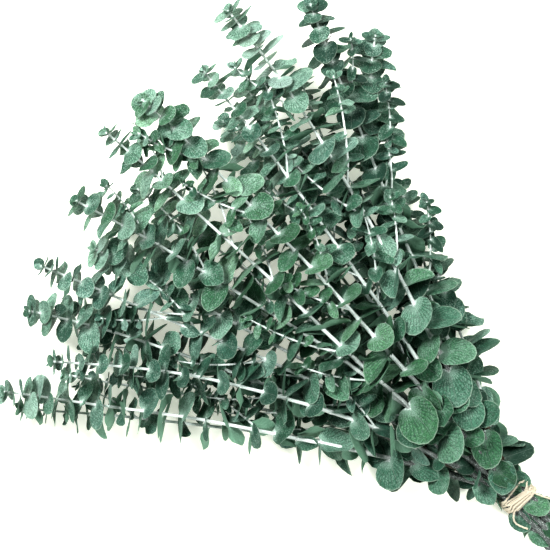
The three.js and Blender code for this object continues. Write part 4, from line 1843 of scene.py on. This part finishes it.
@dataclass
class Twine:
    """The binding: turns of twine round the stems, a knot on the right shoulder and two short free ends.

    Lengths are in millimetres. A direction round the stems is in degrees up from +X, seen along the stems.
    """

    radius: float = 0.75
    turns: int = 8
    pitch: float = 1.42
    slant: float = -0.16  # how far the turns run along the bunch for each millimetre to the right
    lean: float = -0.16  # the same for each millimetre up
    clearance: float = 0.35
    stem_radius: float = 2.45
    floor_gap: float = 0.1
    knot_radius: float = 1.7
    knot_towards: float = 60.0
    knot_along: float = -4.8
    knot_pinch: float = 0.4  # how far the turns draw together towards the knot
    knot_spread: float = 12.0  # how far from the knot they do so
    loose_stand: float = 0.6
    loose_along: float = 4.2
    loose_slant: float = 0.1
    loose_span: tuple[float, float] = (225.0, -45.0)
    sleeve_ends: tuple[float, float] = (-6.5, 8.0)  # where the band begins and ends
    sleeve_stands: tuple[float, ...] = (0.8, 4.0, 9.0)  # how far its stand-ins stand off it
    # The strands that cross over the band: from and to which direction, place at either end, rise.
    strands: tuple[tuple[float, float, tuple[float, float], float], ...] = (
        (165, 20, (-4.2, 1.6), 1.5),
        (140, 48, (3.8, -1.0), 1.9),
        (150, 66, (-2.0, 3.4), 2.5),
        (120, 10, (-4.6, -1.2), 2.1),
        (0, 88, (11.0, 5.5), 1.3),
    )
    ends: tuple[tuple[tuple[float, float, float], ...], ...] = (
        ((9.3, -4.8, 24.1), (11.2, -10, 27), (13.8, -16, 27.8), (16.8, -22, 25.6), (19.2, -26.6, 21.5)),
        ((-8.7, -6, 22.9), (-13.4, -9.6, 21.6), (-15, -13.4, 20), (-14, -18, 19.8), (-12, -22.6, 20.8)),
    )

    def loop(self, degrees: float, stand: float = 0.0) -> np.ndarray:
        """Finds a point of the tight loop, or one that stands off it.

        Args:
            degrees: Its direction round the stems.
            stand: How far it stands off the loop.

        Returns:
            The point.
        """
        a = math.radians(degrees)
        outward = np.array((math.cos(a), 0.0, math.sin(a)))
        seat = max(BINDING.seats(), key=lambda s: round(float(s @ outward), 6))
        return seat + outward * (self.stem_radius + self.clearance + self.radius + stand)

    def _along(self, point: np.ndarray, course: float) -> float:
        """Returns how far along the bunch a turn lies at a point of the loop.

        Args:
            point: The point of the loop.
            course: The turn's own place in the band, from its middle.

        Returns:
            The distance along +Y, drawn together near the knot.
        """
        off = ((point - self.loop(self.knot_towards))[[0, 2]] ** 2).sum()
        near = math.exp(-off / self.knot_spread**2)
        middle = self.slant * point[0] + self.lean * point[2]
        return middle + course * (1 - self.knot_pinch * near)

    def _wraps(self) -> np.ndarray:
        """Draws the turns, which lie side by side a little unevenly.

        Returns:
            The points of their line.
        """

        def wave(degrees: float) -> float:
            """Returns the sine of an angle in degrees."""
            return math.sin(math.radians(degrees))

        line = []
        per_turn = 72
        for i in range(self.turns * per_turn + 1):
            turned = i * 360 / per_turn
            uneven = 0.45 * wave(turned * 0.43) + 0.22 * wave(turned * 1.7)
            point = self.loop(101.25 + turned, 0.22 * (1 + wave(turned * 0.61)))
            point[1] = self._along(point, (self.turns / 2 - turned / 360) * self.pitch + uneven)
            line.append(point)
        return np.array(line)

    def _loose(self) -> np.ndarray:
        """Draws the strand that runs loose beside the band.

        Returns:
            The points of its line.
        """
        line = []
        for share in np.linspace(0, 1, 55):
            point = self.loop(lerp(*self.loose_span, share), self.loose_stand)
            free = min(1.0, 2.5 * share, 2.5 * (1 - share))
            loose = self.loose_along + self.loose_slant * point[0]
            point[1] = lerp(self.slant * point[0], loose, free)
            line.append(point)
        return np.array(line)

    def _across(self, first: float, last: float, courses: tuple[float, float], rise: float) -> np.ndarray:
        """Draws a strand that crosses over the band.

        Args:
            first: The direction in which it comes out from under the other turns.
            last: The direction in which it goes back under them.
            courses: Its place in the band at either end.
            rise: How far it stands over the band.

        Returns:
            The points of the line.
        """
        line = []
        for share in np.linspace(0, 1, 37):
            bulge = min(1.0, math.sin(share * math.pi) * 1.8)
            point = self.loop(lerp(first, last, share), rise * bulge)
            point[1] = self._along(point, lerp(*courses, share))
            line.append(point)
        return np.array(line)

    def _knot(self) -> np.ndarray:
        """Draws the overhand knot that lies on the shoulder.

        Returns:
            The points of its line.
        """
        middle = self.loop(self.knot_towards, self.radius + self.knot_radius * 0.35)
        middle[1] = self.knot_along
        tip = math.radians(90 - self.knot_towards)
        line = []
        for u in np.linspace(0, 2 * math.tau, 121):
            bulge = (2 + math.cos(1.5 * u)) * 0.5 * self.knot_radius
            x, y, z = bulge * math.cos(u), bulge * math.sin(u), self.knot_radius * math.sin(1.5 * u) * 0.5
            tipped = (x * math.cos(tip) + z * math.sin(tip), y, z * math.cos(tip) - x * math.sin(tip))
            line.append(middle + np.array(tipped))
        return np.array(line)

    @staticmethod
    def through(points: tuple[tuple[float, float, float], ...]) -> np.ndarray:
        """Draws a smooth line through points, by the usual cubic rule for such splines.

        Args:
            points: The points, from one end to the other.

        Returns:
            The points of the line.
        """
        p = np.array(points, float)
        p = np.concatenate((p[:1] * 2 - p[1:2], p, p[-1:] * 2 - p[-2:-1]))
        line = []
        for k in range(1, len(p) - 2):
            for t in np.linspace(0, 1, 8, endpoint=False):
                a, b, c, d = p[k - 1 : k + 3]
                bend = (2 * a - 5 * b + 4 * c - d) * t**2 + (3 * b - a - 3 * c + d) * t**3
                line.append(b + 0.5 * ((c - a) * t + bend))
        return np.array([*line, p[-2]])

    def sleeve(self, stand: float) -> Shell:
        """Makes a plain sleeve round the band, which leaves keep clear of.

        Args:
            stand: How far it stands off the band.

        Returns:
            Its points and triangles.
        """
        steps = 18
        points = []
        for course in self.sleeve_ends:
            for i in range(steps):
                point = self.loop(i * 360 / steps, stand)
                point[1] = self._along(point, course)
                points.append(point)
        pairs = [(i, (i + 1) % steps) for i in range(steps)]
        triangles = [t for i, j in pairs for t in ((i, j, i + steps), (j, j + steps, i + steps))]
        return np.array(points), triangles

    def build(self, tree: NodeTree, finishes: Finishes) -> Object:
        """Makes the twine as one mesh.

        Args:
            tree: The geometry nodes that twist plies along a line.
            finishes: The materials by name.

        Returns:
            The finished piece.
        """
        lines = [
            self._wraps(),
            self._loose(),
            *(self._across(*strand) for strand in self.strands),
            self._knot(),
            *(self.through(points) for points in self.ends),
        ]
        points: list[tuple[float, ...]] = []
        edges: list[tuple[int, int]] = []
        for line in lines:
            first = len(points)
            points += [tuple(float(c) * MM for c in point) for point in line]
            edges += [(i, i + 1) for i in range(first, len(points) - 1)]
        mesh = bpy.data.meshes.new("twine")
        mesh.from_pydata(points, edges, [])
        inputs = {"Fibre": finishes["twine"], "Floor": self.floor_gap * MM}
        piece = grown_by(tree, mesh, "twine_binding", inputs)
        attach(piece, "root")
        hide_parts("twine")
        LOG.info("twine: %d turns, %d faces", self.turns, len(piece.data.polygons))
        return piece


# ---- Setting ----


@dataclass(frozen=True)
class Panel:
    """A soft square light that faces the bunch. Lengths in metres."""

    name: str
    towards: float  # where it stands, in degrees from +X towards +Y
    distance: float  # from the picture's middle, along the floor
    height: float  # above the leaves
    size: float
    power: float  # in watts


@dataclass
class Studio:
    """The pale floor, the soft light and the camera that looks straight down. Lengths in metres."""

    middle: tuple[float, float] = (-0.0024, 0.2366)
    frame_width: float = 0.396
    camera_height: float = 1.8
    subject_height: float = 0.03
    sensor: float = 36.0
    picture_turn: float = -47.0  # degrees the picture is turned against the bunch
    floor_size: float = 6.0
    floor_drop: float = 0.0004  # how far the floor lies under the bunch
    floor_colour: Colour = (0.9, 0.92, 0.83, 1)
    floor_glow: Colour = (0.97, 1.0, 0.85, 1)
    glow_strength: float = 0.46
    sky: Colour = (0.93, 0.96, 1.0, 1)
    sky_strength: float = 0.15
    panels: tuple[Panel, ...] = (
        Panel("upper_left_panel", 94, 1.3, 2.0, 0.8, 120),
        Panel("lower_right_panel", -88, 2.1, 1.3, 1.0, 56),
        Panel("upper_right_panel", 0, 1.4, 2.0, 0.9, 42),
    )

    def floor(self) -> Object:
        """Lays the floor just under the bunch.

        Returns:
            The floor.
        """
        half, z = self.floor_size / 2, -self.floor_drop
        mesh = bpy.data.meshes.new("floor")
        corners = [(-half, -half, z), (half, -half, z), (half, half, z), (-half, half, z)]
        mesh.from_pydata(corners, [], [(0, 1, 2, 3)])
        material, shader = new_material("pale floor")
        shader.inputs["Base Color"].default_value = self.floor_colour
        shader.inputs["Roughness"].default_value = 0.9
        shader.inputs["Emission Color"].default_value = self.floor_glow
        shader.inputs["Emission Strength"].default_value = self.glow_strength
        mesh.materials.append(material)
        floor = into_scene("floor", mesh)
        return floor

    def camera(self) -> Object:
        """Hangs the camera over the picture's middle.

        Returns:
            The camera.
        """
        data = bpy.data.cameras.new("overhead")
        data.sensor_width = self.sensor
        data.lens = self.sensor * (self.camera_height - self.subject_height) / self.frame_width
        data.clip_end = 20
        camera = into_scene("overhead", data)
        camera.location = (*self.middle, self.camera_height)
        camera.rotation_euler = (0, 0, math.radians(self.picture_turn))
        bpy.context.scene.camera = camera
        return camera

    def _add(self, panel: Panel) -> None:
        """Adds one panel.

        Args:
            panel: Its size, its place and its power.
        """
        data = bpy.data.lights.new(panel.name, "AREA")
        data.size = panel.size
        data.energy = panel.power
        light = into_scene(panel.name, data)
        a = math.radians(panel.towards)
        target = Vector((*self.middle, self.subject_height))
        across = Vector((math.cos(a) * panel.distance, math.sin(a) * panel.distance, panel.height))
        light.location = target + across
        light.rotation_euler = (target - light.location).to_track_quat("-Z", "Y").to_euler()

    def lights(self) -> None:
        """Adds the three panels, which leave the gaps in the bunch dark, and the pale surroundings."""
        for panel in self.panels:
            self._add(panel)
        world = bpy.data.worlds.new("surroundings")
        world.use_nodes = True
        background = world.node_tree.nodes["Background"]
        background.inputs["Color"].default_value = self.sky
        background.inputs["Strength"].default_value = self.sky_strength
        bpy.context.scene.world = world

    def build(self) -> None:
        """Sets everything up around the bunch."""
        self.floor()
        self.camera()
        self.lights()
        bpy.context.scene.view_settings.view_transform = "Standard"


# ---- The bunch ----


class Bunch:
    """The whole bunch: its stems, their leaves and the twine."""

    def __init__(self) -> None:
        """Makes the finishes and lists the stems."""
        effects = Effects()
        self.finishes = {
            "leaf": LeafFinish().make(effects),
            "bark": BarkFinish().make(effects),
            "twine": TwineFinish().make(effects),
        }
        rows = [(r, c, shape) for r, row in enumerate(STEM_ROWS) for c, shape in enumerate(row)]
        self.stems = [
            LeafyStem(f"stem_{r + 1}_{c + 1}", index, shape, BINDING.seat(r, c))
            for index, (r, c, shape) in enumerate(rows)
        ]

    def _place_rods(self, crowd: Crowd) -> None:
        """Adds the stems themselves to the crowd, so that no other stem's leaf passes through them.

        Args:
            crowd: What is placed already, which the stems join.
        """
        span = 30.0
        for stem in self.stems:
            for first in np.arange(0, stem.path.length, span):
                line = np.array([stem.path.at(d) for d in (first, min(first + span, stem.path.length))])
                crowd.place(*ribbon(line, stem.radius(first)), stem.index)

    def build(self) -> None:
        """Grows every stem and ties them."""
        shapes = bpy.data.collections.new("blades")
        for number, form in enumerate(LeafForm):
            mesh = LeafBlade(form).mesh()
            shapes.objects.link(bpy.data.objects.new(f"blade_{number}", mesh))
        blades = [LeafBlade(form).outline() for form in LeafForm]
        crowd = Crowd()
        self._place_rods(crowd)
        twine = Twine()
        for stand in twine.sleeve_stands:
            crowd.place(*twine.sleeve(stand))
        for route in twine.ends:
            crowd.place(*ribbon(twine.through(route), twine.radius))
        for stem in self.stems:
            stem.branch(crowd)
        for stem in reversed(self.stems):
            stem.grow(blades, crowd)
        for stem in reversed(self.stems):
            for sprig in stem.sprigs:
                sprig.grow(blades, crowd)
        tree = leafy_stem_tree()
        for stem in self.stems:
            stem.build(tree, shapes, self.finishes)
        twine.build(twisted_twine_tree(), self.finishes)
        for blade in list(shapes.objects):
            mesh = blade.data
            bpy.data.objects.remove(blade)
            bpy.data.meshes.remove(mesh)
        bpy.data.collections.remove(shapes)


def main() -> None:
    """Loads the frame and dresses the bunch."""
    logging.basicConfig(level=logging.INFO, format="%(message)s")
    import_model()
    Studio().build()
    Bunch().build()


if __name__ == "__main__":
    main()
